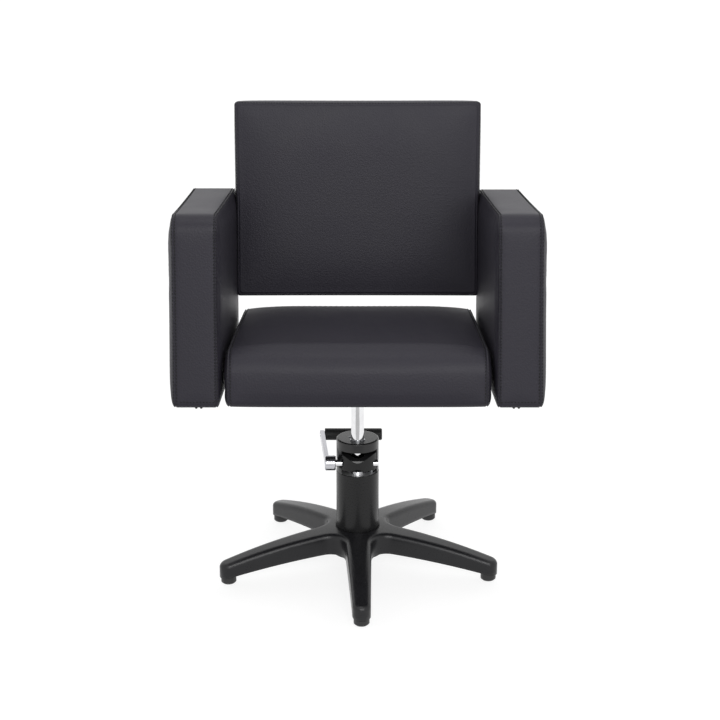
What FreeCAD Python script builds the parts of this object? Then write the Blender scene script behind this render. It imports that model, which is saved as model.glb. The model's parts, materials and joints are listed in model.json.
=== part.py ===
import FreeCAD, Part
import math
import os
import Sketcher

# Hydraulic salon styling chair: five-leg cast base, foot pump, upholstered seat, arms and back.
# Origin: on the floor in the middle of the star base, on the pump's axis.
# +Z is up, -Y is the front, +X is the sitter's left.
# All lengths are in millimetres, angles in degrees.

doc = FreeCAD.newDocument("StylingChair")
sheet = doc.addObject("Spreadsheet::Sheet", "Sizes")
pieces = []


class Size:
    # a length together with the spreadsheet formula that gives it
    def __init__(self, value, formula):
        self.value = value
        self.formula = formula

    def __add__(self, other):
        other = asSize(other)
        return Size(self.value + other.value, "(%s + %s)" % (self.formula, other.formula))

    def __sub__(self, other):
        other = asSize(other)
        return Size(self.value - other.value, "(%s - %s)" % (self.formula, other.formula))

    def __mul__(self, other):
        other = asSize(other)
        return Size(self.value * other.value, "(%s * %s)" % (self.formula, other.formula))

    def __truediv__(self, other):
        other = asSize(other)
        return Size(self.value / other.value, "(%s / %s)" % (self.formula, other.formula))

    def __neg__(self):
        return Size(-self.value, "(0 - %s)" % self.formula)


def asSize(number):
    if isinstance(number, Size):
        return number
    return Size(float(number), repr(float(number)))


def size(name, value, note):
    # one row of the sheet: what the size is, its value and its alias
    row = len([c for c in sheet.getUsedCells() if c.startswith("B")]) + 1
    sheet.set("A%d" % row, note)
    sheet.set("B%d" % row, str(value))
    sheet.setAlias("B%d" % row, name)
    return Size(float(value), "Sizes." + name)


zero = asSize(0)

# star base
baseTurn = size("baseTurn", 1.6, "angle by which the base is turned on the floor")
legCount = 5
footCircle = size("footCircle", 270, "radius of the circle through the glides")
legRootHalf = size("legRootHalf", 28.5, "half width of a leg, carried back to the axis")
legTipHalf = size("legTipHalf", 17.5, "half width and end radius of a leg at its glide")
hubTop = size("hubTop", 84, "height of the hub's top face")
legTipTop = size("legTipTop", 40, "height of a leg's top at its very end")
legTopBow = size("legTopBow", 6.5, "rise of the arched top over a straight line")
hubFlat = size("hubFlat", 46, "radius at which the top of the casting starts to fall")
legTipUnder = size("legTipUnder", 13, "height of a leg's lower rim at its very end")
legRootUnder = size("legRootUnder", 41, "height of the lower rim where the legs meet")
underStart = size("underStart", 60, "radius at which the lower rim starts to fall")
legUnderBow = size("legUnderBow", 3.6, "rise of the arched lower rim over a straight line")
webRadius = size("webRadius", 34, "radius of the web between two legs, in plan")
legEdge = size("legEdge", 9, "radius along the top edges of the casting")
castWall = size("castWall", 5, "wall of the casting")
bossRadius = size("bossRadius", 52, "radius of the hub's boss")
bossBottom = size("bossBottom", 30, "height of the boss's lower face")
bossFlange = size("bossFlange", 5, "thickness of the flange that carries the pump")
glideRadius = size("glideRadius", 15, "radius of a glide")
glideEdge = size("glideEdge", 3, "radius of a glide's lower edge")
glideRecess = size("glideRecess", 3, "depth of a glide's seat in the leg")
glideStem = size("glideStem", 4, "radius of a glide's stem")
glideStemLength = size("glideStemLength", 16, "length of a glide's stem")

# hydraulic pump
tubeRadius = size("tubeRadius", 42.3, "outer radius of the pump's tube")
tubeWall = size("tubeWall", 2.5, "wall of the pump's tube")
shaftHeight = size("shaftHeight", 224.8, "height of the lever's shaft over the floor")
rimDrop = size("rimDrop", 21.8, "how far the tube's upper rim lies below the lever's shaft")
windowRise = size("windowRise", 27.8, "how far the lever window reaches above the shaft")
headRise = size("headRise", 46.6, "how far the pump head's top lies above the shaft")
footThick = size("footThick", 8, "thickness of the pump's foot plug")
blockThick = size("blockThick", 14, "thickness of the cylinder block")
headRadius = size("headRadius", 41.9, "outer radius of the pump head")
headEdge = size("headEdge", 3, "radius of the pump head's top edge")
windowLeft = size("windowLeft", 31.5, "reach of the window to the -X side")
windowRight = size("windowRight", 38.5, "reach of the window to the +X side")
windowDepth = size("windowDepth", 3, "how far the window reaches behind the pump's axis")
ramFront = size("ramFront", 16, "distance of the ram's axis in front of the pump's axis")
ramRadius = size("ramRadius", 12.7, "radius of the chromed ram")
ramRest = size("ramRest", 97, "height of the ram's lower end as photographed")
ramTop = size("ramTop", 388, "height of the ram's upper end as photographed")
ramEdge = size("ramEdge", 1.5, "chamfer at the ends of the ram")
cylinderBore = size("cylinderBore", 17, "bore radius of the ram's cylinder")
cylinderWall = size("cylinderWall", 2.5, "wall of the ram's cylinder")
neckRadius = size("neckRadius", 11, "radius of the ram's neck inside the stop ring")
clipGroove = size("clipGroove", 9.6, "radius of the groove for the stop ring's clip")
clipRadius = size("clipRadius", 14, "outer radius of the stop ring's clip")
stopRingHeight = size("stopRingHeight", 6, "height of the stop ring on the ram")
clipThick = size("clipThick", 1.6, "thickness of a retaining clip")
glandRadius = size("glandRadius", 14.6, "outer radius of the gland ring")
glandHeight = size("glandHeight", 2.6, "height of the gland ring above the head")
glandDepth = size("glandDepth", 8, "depth of the gland ring's seat")
screwOut = size("screwOut", 15.5, "distance of the filler screw from the pump's axis")
screwRadius = size("screwRadius", 2.3, "radius of the filler screw's head")
flangeHole = size("flangeHole", 16, "radius of the hole in the boss's flange")
footScrewCircle = size("footScrewCircle", 26, "radius of the circle of the pump's foot screws")
footScrew = size("footScrew", 4, "radius of a foot screw's shank")

# pump lever and pedal
shaftFront = size("shaftFront", 21, "distance of the lever's shaft in front of the pump's axis")
shaftRadius = size("shaftRadius", 7, "radius of the lever's shaft")
shaftRight = size("shaftRight", 42, "reach of the shaft to the +X side")
rollRadius = size("rollRadius", 22, "radius of the lever head")
rollFlat = size("rollFlat", 12, "depth of the lever head's flat underside below the shaft")
rollLeft = size("rollLeft", 30.5, "reach of the lever head to the -X side")
rollRight = size("rollRight", 37.2, "reach of the lever head to the +X side")
rollRelief = size("rollRelief", 20.4, "radius of the relief round the ram")
camReach = size("camReach", 12.7, "distance of the cam's nose behind the shaft")
camRise = size("camRise", 2.8, "height of the cam's nose above the shaft at rest")
camRadius = size("camRadius", 5, "radius of the cam's nose")
camWidth = size("camWidth", 10, "width of the cam")
plungerOut = size("plungerOut", 27, "distance of the plunger to the +X side")
plungerRadius = size("plungerRadius", 5, "radius of the plunger")
plungerLength = size("plungerLength", 48, "length of the plunger")
plungerHead = size("plungerHead", 7.2, "radius of the plunger's head")
plungerRoom = size("plungerRoom", 9.4, "room for the plunger in the lever head, in front of its axis")
plungerHeadThick = size("plungerHeadThick", 3, "thickness of the plunger's head")
barrelWall = size("barrelWall", 3, "wall of the plunger's barrel")
barrelLength = size("barrelLength", 42, "length of the plunger's barrel")
springWire = size("springWire", 1.2, "wire diameter of the plunger's spring")
springMean = size("springMean", 6.6, "mean radius of the plunger's spring")
hubInner = size("hubInner", 43, "distance of the lever's hub from the middle")
hubLength = size("hubLength", 21.5, "length of the lever's hub")
hubRadius = size("hubRadius", 14.8, "radius of the lever's hub")
hubEdge = size("hubEdge", 3, "radius of the edges of the lever's hub")
leverThick = size("leverThick", 8.5, "thickness of the lever's bar")
leverHigh = size("leverHigh", 17, "height of the lever's bar")
leverSplay = size("leverSplay", 13, "how far the lever's bar runs outward")
pedalBack = size("pedalBack", 114, "distance of the pedal behind the pump's axis")
pedalRise = size("pedalRise", 10.2, "how far the pedal's axis lies above the shaft")
pedalCore = size("pedalCore", 6, "radius of the pedal's steel core")
gripRadius = size("gripRadius", 12.2, "radius of the pedal's rubber grip")
gripRight = size("gripRight", 50.2, "reach of the rubber grip to the +X side")
gripEnd = size("gripEnd", 4, "thickness of the grip's closed end")

# seat and its support
seatTilt = size("seatTilt", 7, "backward rake of seat, arms and back together")
seatPivot = size("seatPivot", 420, "height about which the rake is taken")
plateHalf = size("plateHalf", 75, "half side of the mounting plate")
plateThick = size("plateThick", 6, "thickness of the mounting plate")
plateCorner = size("plateCorner", 12, "radius of the mounting plate's corners")
plateBolt = size("plateBolt", 55, "distance of the plate's bolts from its middle lines")
boltRadius = size("boltRadius", 4, "radius of a frame bolt's shank")
boltHead = size("boltHead", 7, "radius of a frame bolt's head")
boltHeadThick = size("boltHeadThick", 5.3, "thickness of a frame bolt's head")
socketRadius = size("socketRadius", 22, "radius of the ram's socket")
socketBottom = size("socketBottom", 348, "height of the socket's lower face")
seatHalf = size("seatHalf", 235.5, "half width of the seat")
seatFront = size("seatFront", 296, "reach of the seat to the front")
seatRear = size("seatRear", 200, "reach of the seat to the rear")
seatUnder = size("seatUnder", -18, "underside of the seat")
seatHigh = size("seatHigh", 80, "top of the seat at its side edges")
seatCrown = size("seatCrown", 5, "rise of the seat's crown")
seatRoll = size("seatRoll", 42, "radius of the seat's front roll")
seatSide = size("seatSide", 13, "radius of the seat's side edges")
boardThick = size("boardThick", 18, "thickness of the seat board")
seatCover = size("seatCover", 14, "padding over the board's edge")
railThick = size("railThick", 22, "thickness of the seat frame's rails")
railHigh = size("railHigh", 44, "height of the seat frame's rails")

# arms and back
armGap = size("armGap", 13.5, "gap between the seat and an arm")
armThick = size("armThick", 79, "thickness of an arm")
armFront = size("armFront", 300, "reach of the arms to the front")
armRear = size("armRear", 242, "reach of the arms to the rear")
armUnder = size("armUnder", -18.3, "underside of the arms")
armHigh = size("armHigh", 323.6, "top of the arms")
armNose = size("armNose", 33, "radius of an arm's upper front corner")
armCorner = size("armCorner", 9, "radius of an arm's other corners")
armEdge = size("armEdge", 6, "radius round an arm's faces")
armCrown = size("armCrown", 1.2, "crown of an arm's faces")
armCore = size("armCore", 36, "thickness of an arm's wooden core")
armCover = size("armCover", 22, "padding round an arm's core")
backGap = size("backGap", 1.4, "gap between the back and an arm")
backFront = size("backFront", 176, "front face of the back at its edges")
backThick = size("backThick", 58, "thickness of the back at its edges")
backUnder = size("backUnder", 112.7, "underside of the back")
backHigh = size("backHigh", 505.3, "top of the back")
backCorner = size("backCorner", 9, "radius of the back's corners")
backEdge = size("backEdge", 8, "radius round the back's faces")
backCrown = size("backCrown", 4, "crown of the back's faces")
backCore = size("backCore", 18, "thickness of the back's wooden core")
backCover = size("backCover", 22, "padding round the back's core")
drawIn = size("drawIn", 1, "how far long cushion edges pull in between their corners")
spacerRadius = size("spacerRadius", 9, "radius of the spacers beside the seat and the back")
armBoltFront = size("armBoltFront", -220, "front pair of arm bolts, along the seat")
armBoltRear = size("armBoltRear", 110, "rear pair of arm bolts, along the seat")
armBoltUp = size("armBoltUp", 24, "height of the arm bolts over the pivot")
backBoltLow = size("backBoltLow", 165, "lower pair of back bolts over the pivot")
backBoltHigh = size("backBoltHigh", 265, "upper pair of back bolts over the pivot")
boltGrip = size("boltGrip", 28, "depth of a frame bolt in its wooden core")

# clearances
runFit = size("runFit", 0.05, "radial clearance of what turns or slides")
seatFit = size("seatFit", 0.2, "clearance of what is fixed in a hole or lies loose on its seat")
softFit = size("softFit", 0.3, "clearance between padding and what it covers")
doc.recompute()

# places that follow from these sizes
tubeRim = shaftHeight - rimDrop
windowTop = shaftHeight + windowRise
headTop = shaftHeight + headRise
pedalHeight = shaftHeight + pedalRise
armInner = seatHalf + armGap
backHalf = armInner - backGap


def origin(body, role):
    return [f for f in body.Origin.OriginFeatures if f.Role == role][0]


def sketchOn(body, name, plane, offset=zero):
    sketch = body.newObject("Sketcher::SketchObject", name)
    sketch.AttachmentSupport = [(origin(body, plane), "")]
    sketch.MapMode = "FlatFace"
    sketch.setExpression("AttachmentOffset.Base.z", offset.formula)
    return sketch


def bindPoint(sketch, edge, end, x, y, tag):
    # hold one end of an edge at a place that the sheet gives
    for kind, axis, value in (("DistanceX", -2, x), ("DistanceY", -1, y)):
        if value.value == 0:
            sketch.addConstraint(Sketcher.Constraint("PointOnObject", edge, end, axis))
        else:
            rule = Sketcher.Constraint(kind, -1, 1, edge, end, value.value)
            index = sketch.addConstraint(rule)
            sketch.renameConstraint(index, kind + tag)
            sketch.setExpression("Constraints." + kind + tag, value.formula)


def outline(sketch, corners):
    # closed outline through the corners; a third value bows the edge that starts there outward
    points = [FreeCAD.Vector(c[0].value, c[1].value, 0) for c in corners]
    ends = []
    for i, corner in enumerate(corners):
        start = points[i]
        end = points[(i + 1) % len(points)]
        if len(corner) == 2:
            sketch.addGeometry(Part.LineSegment(start, end))
        else:
            across = FreeCAD.Vector(start.y - end.y, end.x - start.x, 0)
            across.normalize()
            middle = (start + end) * 0.5 + across * corner[2].value
            sketch.addGeometry(Part.Arc(start, middle, end))
        forward = (sketch.getPoint(i, 1) - start).Length < (sketch.getPoint(i, 2) - start).Length
        ends.append((1, 2) if forward else (2, 1))
    for i, corner in enumerate(corners):
        after = (i + 1) % len(corners)
        sketch.addConstraint(Sketcher.Constraint("Coincident", i, ends[i][1], after, ends[after][0]))
        bindPoint(sketch, i, ends[i][0], corner[0], corner[1], str(i))
    for i, corner in enumerate(corners):
        if len(corner) == 3:
            after = corners[(i + 1) % len(corners)]
            run = after[0] - corner[0]
            rise = after[1] - corner[1]
            bow = Size(abs(corner[2].value), "abs(%s)" % corner[2].formula)
            radius = (run * run + rise * rise) / (bow * 8) + bow / 2
            index = sketch.addConstraint(Sketcher.Constraint("Radius", i, radius.value))
            sketch.renameConstraint(index, "Bow%d" % i)
            sketch.setExpression("Constraints.Bow%d" % i, radius.formula)


def circle(sketch, x, y, radius, tag=""):
    index = sketch.addGeometry(Part.Circle(FreeCAD.Vector(x.value, y.value, 0),
                                           FreeCAD.Vector(0, 0, 1), radius.value))
    bindPoint(sketch, index, 3, x, y, "Centre" + tag)
    rule = sketch.addConstraint(Sketcher.Constraint("Radius", index, radius.value))
    sketch.renameConstraint(rule, "Radius" + tag)
    sketch.setExpression("Constraints.Radius" + tag, radius.formula)


def newBody(name, placement=None):
    body = doc.addObject("PartDesign::Body", name)
    body.Label = name
    if placement:
        body.Placement = placement
    return body


def pad(body, sketch, length, kind="Pad", middle=False, back=False):
    feature = body.newObject("PartDesign::" + kind, kind)
    feature.Profile = sketch
    feature.Midplane = middle
    feature.Reversed = back
    feature.setExpression("Length", asSize(length).formula)
    return feature


def turn(body, sketch, kind="Revolution"):
    feature = body.newObject("PartDesign::" + kind, kind)
    feature.Profile = sketch
    feature.ReferenceAxis = (sketch, ["V_Axis"])
    feature.Angle = 360
    return feature


def keep(*found):
    pieces.extend(found)
    return found[0]


def turned(name, corners, placement=None):
    # a piece turned about its Z axis, from corners as radius and height
    body = newBody(name, placement)
    sketch = sketchOn(body, name + "Section", "XZ_Plane")
    outline(sketch, corners)
    turn(body, sketch)
    return body


def rounded(body, name, edges, radius, kind="Fillet"):
    before = body.Tip
    feature = body.newObject("PartDesign::" + kind, name)
    feature.Base = (before, edges)
    feature.setExpression("Size" if kind == "Chamfer" else "Radius", radius.formula)
    body.Tip = feature
    return feature


def edgesWhere(shape, test):
    return ["Edge%d" % (i + 1) for i, e in enumerate(shape.Edges) if test(e)]


def solidFeature(name, shape, placement=None):
    feature = doc.addObject("Part::Feature", name)
    feature.Label = name
    feature.Shape = shape
    if placement:
        feature.Placement = placement
    return feature


def combined(kind, name, first, second):
    # Part boolean of two objects of the document
    feature = doc.addObject("Part::" + kind, name)
    feature.Label = name
    feature.Base = first
    feature.Tool = second
    return feature


def around(axis, degrees, where=(0, 0, 0)):
    return FreeCAD.Placement(FreeCAD.Vector(*where), FreeCAD.Rotation(FreeCAD.Vector(*axis), degrees))


baseFrame = around((0, 0, 1), baseTurn.value - 90)
seatFrame = around((1, 0, 0), -seatTilt.value, (0, 0, seatPivot.value))
alongX = FreeCAD.Rotation(FreeCAD.Vector(0, 1, 0), 90)
shaftFrame = FreeCAD.Placement(FreeCAD.Vector(0, -shaftFront.value, shaftHeight.value), alongX)
ramFrame = FreeCAD.Placement(FreeCAD.Vector(0, -ramFront.value, 0), FreeCAD.Rotation())


def bar(radius, start, end, y, z):
    # plain round bar along X, for cutting and for bolts
    return Part.makeCylinder(radius, end - start, FreeCAD.Vector(start, y, z), FreeCAD.Vector(1, 0, 0))


def block(low, high):
    span = [b - a for a, b in zip(low, high)]
    return Part.makeBox(span[0], span[1], span[2], FreeCAD.Vector(*low))


# Star base: one leg is padded, repeated round the hub, webbed, then turned to its arched top
# and its arched lower rim. The legs are hollow below, with the pump's boss in the middle.

legEnd = footCircle + legTipHalf
tallest = hubTop * 1.35


def legTopSection(body, name, drop, low=False):
    sketch = sketchOn(body, name, "XZ_Plane")
    if low:
        rim = [(zero, -tallest), (zero, legRootUnder),
               (underStart, legRootUnder, legUnderBow), (legEnd, legTipUnder), (legEnd * 2, legTipUnder),
               (legEnd * 2, -tallest)]
        outline(sketch, rim)
    else:
        top = [(zero, tallest), (zero, hubTop - drop), (hubFlat, hubTop - drop, legTopBow),
               (legEnd, legTipTop - drop), (legEnd * 2, legTipTop - drop), (legEnd * 2, tallest)]
        outline(sketch, top)
    return sketch


base = newBody("BaseCasting", baseFrame)
plan = sketchOn(base, "LegPlan", "XY_Plane")
outline(plan, [(zero, legRootHalf), (zero, -legRootHalf), (footCircle, -legTipHalf),
               (footCircle, legTipHalf)])
leg = pad(base, plan, tallest)
tip = sketchOn(base, "LegTip", "XY_Plane")
circle(tip, footCircle, zero, legTipHalf)
legTip = pad(base, tip, tallest)
doc.recompute()
legs = base.newObject("PartDesign::PolarPattern", "Legs")
legs.Originals = [leg, legTip]
legs.Axis = (origin(base, "Z_Axis"), [""])
legs.Angle = 360
legs.Occurrences = legCount
base.Tip = legs
doc.recompute()


def isCrotch(edge):
    # upright edge where two legs meet
    if len(edge.Vertexes) != 2:
        return False
    a, b = [v.Point for v in edge.Vertexes]
    reach = math.hypot(a.x, a.y)
    upright = abs(a.x - b.x) < 0.01 and abs(a.y - b.y) < 0.01
    return upright and legRootHalf.value * 0.9 < reach < legRootHalf.value * 2.2


rounded(base, "Webs", edgesWhere(legs.Shape, isCrotch), webRadius)
doc.recompute()
turn(base, legTopSection(base, "ArchedTop", zero), "Groove")
turn(base, legTopSection(base, "ArchedRim", zero, True), "Groove")
doc.recompute()


def isTopRim(edge):
    # edges of the arched top, apart from those of the flat hub
    top = edge.BoundBox
    middle = edge.valueAt((edge.FirstParameter + edge.LastParameter) / 2)
    reach = math.hypot(middle.x, middle.y)
    flat = abs(top.ZMax - hubTop.value) < 0.01 and abs(top.ZMin - hubTop.value) < 0.01
    fall = (reach - hubFlat.value) / (legEnd.value - hubFlat.value)
    straight = hubTop.value + (legTipTop.value - hubTop.value) * fall
    return not flat and top.ZMin > straight - 1 and top.ZLength < hubTop.value - legTipTop.value + 2


rounded(base, "SoftEdges", edgesWhere(base.Tip.Shape, isTopRim), legEdge)
doc.recompute()

# The boss goes down to the flange that the pump stands on; the pump is screwed to it from below.
bossPlan = sketchOn(base, "BossPlan", "XY_Plane", bossBottom)
circle(bossPlan, zero, zero, bossRadius)
pad(base, bossPlan, legRootUnder - bossBottom + castWall)
tubeSeat = sketchOn(base, "TubeSeat", "XY_Plane", hubTop)
circle(tubeSeat, zero, zero, tubeRadius + seatFit)
pad(base, tubeSeat, hubTop - bossBottom - bossFlange, "Pocket")
flange = sketchOn(base, "FlangeHoles", "XY_Plane", hubTop)
circle(flange, zero, zero, flangeHole, "Middle")
diagonal = footScrewCircle * math.sqrt(0.5)
for number, (x, y) in enumerate([(diagonal, diagonal), (-diagonal, diagonal),
                                 (-diagonal, -diagonal), (diagonal, -diagonal)]):
    circle(flange, x, y, footScrew + seatFit, "Screw%d" % number)
pad(base, flange, hubTop, "Pocket")
doc.recompute()
glideSeat = sketchOn(base, "GlideSeat", "XY_Plane", legTipUnder + glideRecess)
circle(glideSeat, footCircle, zero, glideRadius + seatFit)
seatCut = pad(base, glideSeat, legTipUnder, "Pocket")
glideHole = sketchOn(base, "GlideHole", "XY_Plane", legTipUnder)
circle(glideHole, footCircle, zero, glideStem + seatFit)
holeCut = pad(base, glideHole, glideRecess + glideStemLength + seatFit, "Pocket", back=True)
doc.recompute()
glideSeats = base.newObject("PartDesign::PolarPattern", "GlideSeats")
glideSeats.Originals = [seatCut, holeCut]
glideSeats.Axis = (origin(base, "Z_Axis"), [""])
glideSeats.Angle = 360
glideSeats.Occurrences = legCount
base.Tip = glideSeats


def bowedEdge(start, end, bow):
    # a line, or an arc whose middle stands off it by the vector bow
    if bow.Length < 1e-6:
        return Part.makeLine(start, end)
    return Part.Arc(start, (start + end) * 0.5 + bow, end).toShape()


def legHollows():
    # the open underside of the legs, under a wall that follows their arched top
    roofHub = hubTop.value - castWall.value
    roofTip = legTipTop.value - castWall.value
    corners = [FreeCAD.Vector(0, 0, 0), FreeCAD.Vector(0, 0, roofHub),
               FreeCAD.Vector(hubFlat.value, 0, roofHub), FreeCAD.Vector(legEnd.value, 0, roofTip),
               FreeCAD.Vector(legEnd.value, 0, 0)]
    bows = [0, 0, legTopBow.value, 0, 0]
    edges = []
    for i, corner in enumerate(corners):
        edges.append(bowedEdge(corner, corners[(i + 1) % 5], FreeCAD.Vector(0, 0, bows[i])))
    under = Part.Face(Part.Wire(edges)).revolve(FreeCAD.Vector(0, 0, 0), FreeCAD.Vector(0, 0, 1), 360)
    start = bossRadius.value + castWall.value * 2
    end = footCircle.value - glideStem.value - castWall.value
    taper = (legTipHalf.value - legRootHalf.value) / footCircle.value
    wall = castWall.value + legEdge.value * 0.3
    wide = legRootHalf.value + taper * start - wall
    narrow = legRootHalf.value + taper * end - wall
    plan = [(start, wide), (end, narrow), (end, -narrow), (start, -wide), (start, wide)]
    face = Part.Face(Part.makePolygon([FreeCAD.Vector(x, y, 0) for x, y in plan]))
    room = face.extrude(FreeCAD.Vector(0, 0, tallest.value)).common(under)
    rooms = []
    for k in range(legCount):
        turnedRoom = room.copy()
        turnedRoom.rotate(FreeCAD.Vector(0, 0, 0), FreeCAD.Vector(0, 0, 1), k * 360.0 / legCount)
        rooms.append(turnedRoom)
    return Part.makeCompound(rooms)


hollowTool = solidFeature("LegHollows", legHollows(), baseFrame)
keep(combined("Cut", "star_base", base, hollowTool))

# Glides: turned plastic feet with a stem up into the leg.
glideTop = legTipUnder + glideRecess
for k, place in enumerate(["left", "rear_left", "rear_right", "right", "front"]):
    angle = baseTurn.value + 360.0 / legCount * k - 18
    spot = FreeCAD.Placement(
        FreeCAD.Vector(footCircle.value * math.cos(math.radians(angle)),
                       footCircle.value * math.sin(math.radians(angle)), 0), FreeCAD.Rotation())
    keep(turned("glide_" + place, [
        (zero, zero), (glideRadius - glideEdge, zero), (glideRadius, glideEdge),
        (glideRadius, glideTop), (glideStem, glideTop), (glideStem, glideTop + glideStemLength),
        (zero, glideTop + glideStemLength)], spot))

# Pump: outer tube, foot plug, ram cylinder and cylinder block stand in the boss.
tubeFoot = bossBottom + bossFlange
tubeInside = tubeRadius - tubeWall
blockUnder = tubeRim - blockThick
keep(turned("pump_tube", [(tubeInside, tubeFoot), (tubeRadius, tubeFoot), (tubeRadius, tubeRim),
                          (tubeInside, tubeRim)]))
footPlug = keep(turned("pump_foot", [
    (zero, tubeFoot), (tubeInside - seatFit, tubeFoot), (tubeInside - seatFit, tubeFoot + footThick),
    (zero, tubeFoot + footThick)], baseFrame))
footTaps = sketchOn(footPlug, "FootTaps", "XY_Plane", tubeFoot)
for number, (x, y) in enumerate([(diagonal, diagonal), (-diagonal, diagonal),
                                 (-diagonal, -diagonal), (diagonal, -diagonal)]):
    circle(footTaps, x, y, footScrew + seatFit, "Tap%d" % number)
pad(footPlug, footTaps, footThick - castWall / 2, "Pocket", back=True)
cylinderFoot = tubeFoot + footThick
keep(turned("ram_cylinder", [
    (cylinderBore, cylinderFoot), (cylinderBore + cylinderWall, cylinderFoot),
    (cylinderBore + cylinderWall, blockUnder), (cylinderBore, blockUnder)], ramFrame))

plungerBack = camReach - shaftFront
camUnder = shaftHeight + camRise - camRadius
plungerTop = camUnder - softFit
barrelRadius = plungerRadius + runFit + barrelWall
cylinderBlock = keep(turned("cylinder_block", [
    (zero, blockUnder), (tubeInside - seatFit, blockUnder), (tubeInside - seatFit, tubeRim),
    (zero, tubeRim)]))
blockBores = sketchOn(cylinderBlock, "BlockBores", "XY_Plane", tubeRim)
circle(blockBores, zero, -ramFront, ramRadius + runFit, "Ram")
circle(blockBores, plungerOut, plungerBack, barrelRadius + runFit, "Barrel")
pad(cylinderBlock, blockBores, tubeRim, "Pocket")
plungerSpot = FreeCAD.Placement(
    FreeCAD.Vector(plungerOut.value, plungerBack.value, 0), FreeCAD.Rotation())
keep(turned("plunger_barrel", [
    (plungerRadius + runFit, tubeRim - barrelLength), (barrelRadius, tubeRim - barrelLength),
    (barrelRadius, tubeRim), (plungerRadius + runFit, tubeRim)], plungerSpot))
keep(turned("plunger", [
    (zero, plungerTop - plungerLength), (plungerRadius, plungerTop - plungerLength),
    (plungerRadius, plungerTop - plungerHeadThick), (plungerHead, plungerTop - plungerHeadThick),
    (plungerRadius, plungerTop), (zero, plungerTop)], plungerSpot))

# The plunger's spring is closed wound and stands as one sleeve between the block and the head.
springLow = tubeRim + runFit
springHigh = plungerTop - plungerHeadThick - runFit
springIn = springMean - springWire / 2
springOut = springMean + springWire / 2
keep(turned("plunger_spring", [
    (springIn, springLow), (springOut, springLow), (springOut, springHigh), (springIn, springHigh)],
    plungerSpot))

# Foot screws: hexagon heads under the boss's flange.


def hexBolt(head, headThick, shank, length):
    # head below the XY plane, shank above it
    corners = []
    for k in range(7):
        turnTo = math.radians(60 * k)
        corners.append(FreeCAD.Vector(head * math.cos(turnTo), head * math.sin(turnTo), -headThick))
    hexagon = Part.Face(Part.makePolygon(corners)).extrude(FreeCAD.Vector(0, 0, headThick))
    return hexagon.fuse(Part.makeCylinder(shank, length)).removeSplitter()


def placedBolts(bolt, spots, direction):
    found = []
    for spot in spots:
        copy = bolt.copy()
        copy.Placement = FreeCAD.Placement(
            FreeCAD.Vector(*spot), FreeCAD.Rotation(FreeCAD.Vector(0, 0, 1), FreeCAD.Vector(*direction)))
        found.append(copy)
    return found


footBolt = hexBolt(boltHead.value, boltHeadThick.value, footScrew.value,
                   bossFlange.value + footThick.value / 2)
reach = diagonal.value
footSpots = [(x, y, bossBottom.value) for x in (-reach, reach) for y in (-reach, reach)]
keep(solidFeature("foot_screws", Part.makeCompound(placedBolts(footBolt, footSpots, (0, 0, 1))), baseFrame))

# Pump head: turned cap with the window for the lever head, the shaft's bore and the gland's seat.
# Its upper rim is rounded in three short cones.
rimStep = headEdge * 0.134
pumpHead = keep(turned("pump_head", [
    (zero, tubeRim), (headRadius, tubeRim), (headRadius, headTop - headEdge),
    (headRadius - rimStep, headTop - headEdge / 2), (headRadius - headEdge / 2, headTop - rimStep),
    (headRadius - headEdge, headTop), (zero, headTop)]))
doc.recompute()
window = sketchOn(pumpHead, "Window", "XY_Plane", windowTop)
outline(window, [(-windowLeft, -(headRadius + headEdge)), (windowRight, -(headRadius + headEdge)),
                 (windowRight, windowDepth), (-windowLeft, windowDepth)])
pad(pumpHead, window, windowTop - tubeRim, "Pocket")
ramBore = sketchOn(pumpHead, "RamBore", "XY_Plane", headTop)
circle(ramBore, zero, -ramFront, ramRadius + runFit)
pad(pumpHead, ramBore, headTop, "Pocket")
glandSeat = sketchOn(pumpHead, "GlandSeat", "XY_Plane", headTop)
circle(glandSeat, zero, -ramFront, glandRadius + runFit)
pad(pumpHead, glandSeat, glandDepth, "Pocket")
screwSeat = sketchOn(pumpHead, "ScrewSeat", "XY_Plane", headTop)
circle(screwSeat, -screwOut, zero, screwRadius * 0.7)
pad(pumpHead, screwSeat, glandDepth, "Pocket")
shaftBore = sketchOn(pumpHead, "ShaftBore", "YZ_Plane")
circle(shaftBore, -shaftFront, shaftHeight, shaftRadius + runFit)
pad(pumpHead, shaftBore, headRadius * 3, "Pocket", middle=True)
keep(turned("gland_ring", [
    (ramRadius + runFit, headTop - glandDepth), (glandRadius, headTop - glandDepth),
    (glandRadius, headTop + glandHeight * 0.6), (glandRadius - glandHeight * 0.4, headTop + glandHeight),
    (ramRadius + runFit, headTop + glandHeight)], ramFrame))
fillerSpot = FreeCAD.Placement(FreeCAD.Vector(-screwOut.value, 0, headTop.value), FreeCAD.Rotation())
keep(turned("filler_screw", [
    (zero, -glandDepth + seatFit), (screwRadius * 0.7 - runFit, -glandDepth + seatFit),
    (screwRadius * 0.7 - runFit, zero), (screwRadius, zero), (screwRadius, screwRadius * 0.4),
    (screwRadius * 0.6, screwRadius * 0.7), (zero, screwRadius * 0.7)], fillerSpot))

# Lever: shaft across the pump, lever head with its cam, hub and bar on the -X side, pedal behind.
hubOuter = hubInner + hubLength
shaftLeft = hubOuter - hubEdge
shaftBlank = turned("ShaftBlank", [
    (zero, -shaftLeft), (shaftRadius - runFit * 10, -shaftLeft), (shaftRadius, runFit * 10 - shaftLeft),
    (shaftRadius, shaftRight - ramEdge), (shaftRadius - ramEdge, shaftRight), (zero, shaftRight)],
    shaftFrame)
ramRoom = turned("RamRoom", [
    (zero, tubeRim), (rollRelief, tubeRim), (rollRelief, windowTop), (zero, windowTop)], ramFrame)
keep(combined("Cut", "lever_shaft", shaftBlank, ramRoom))

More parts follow.
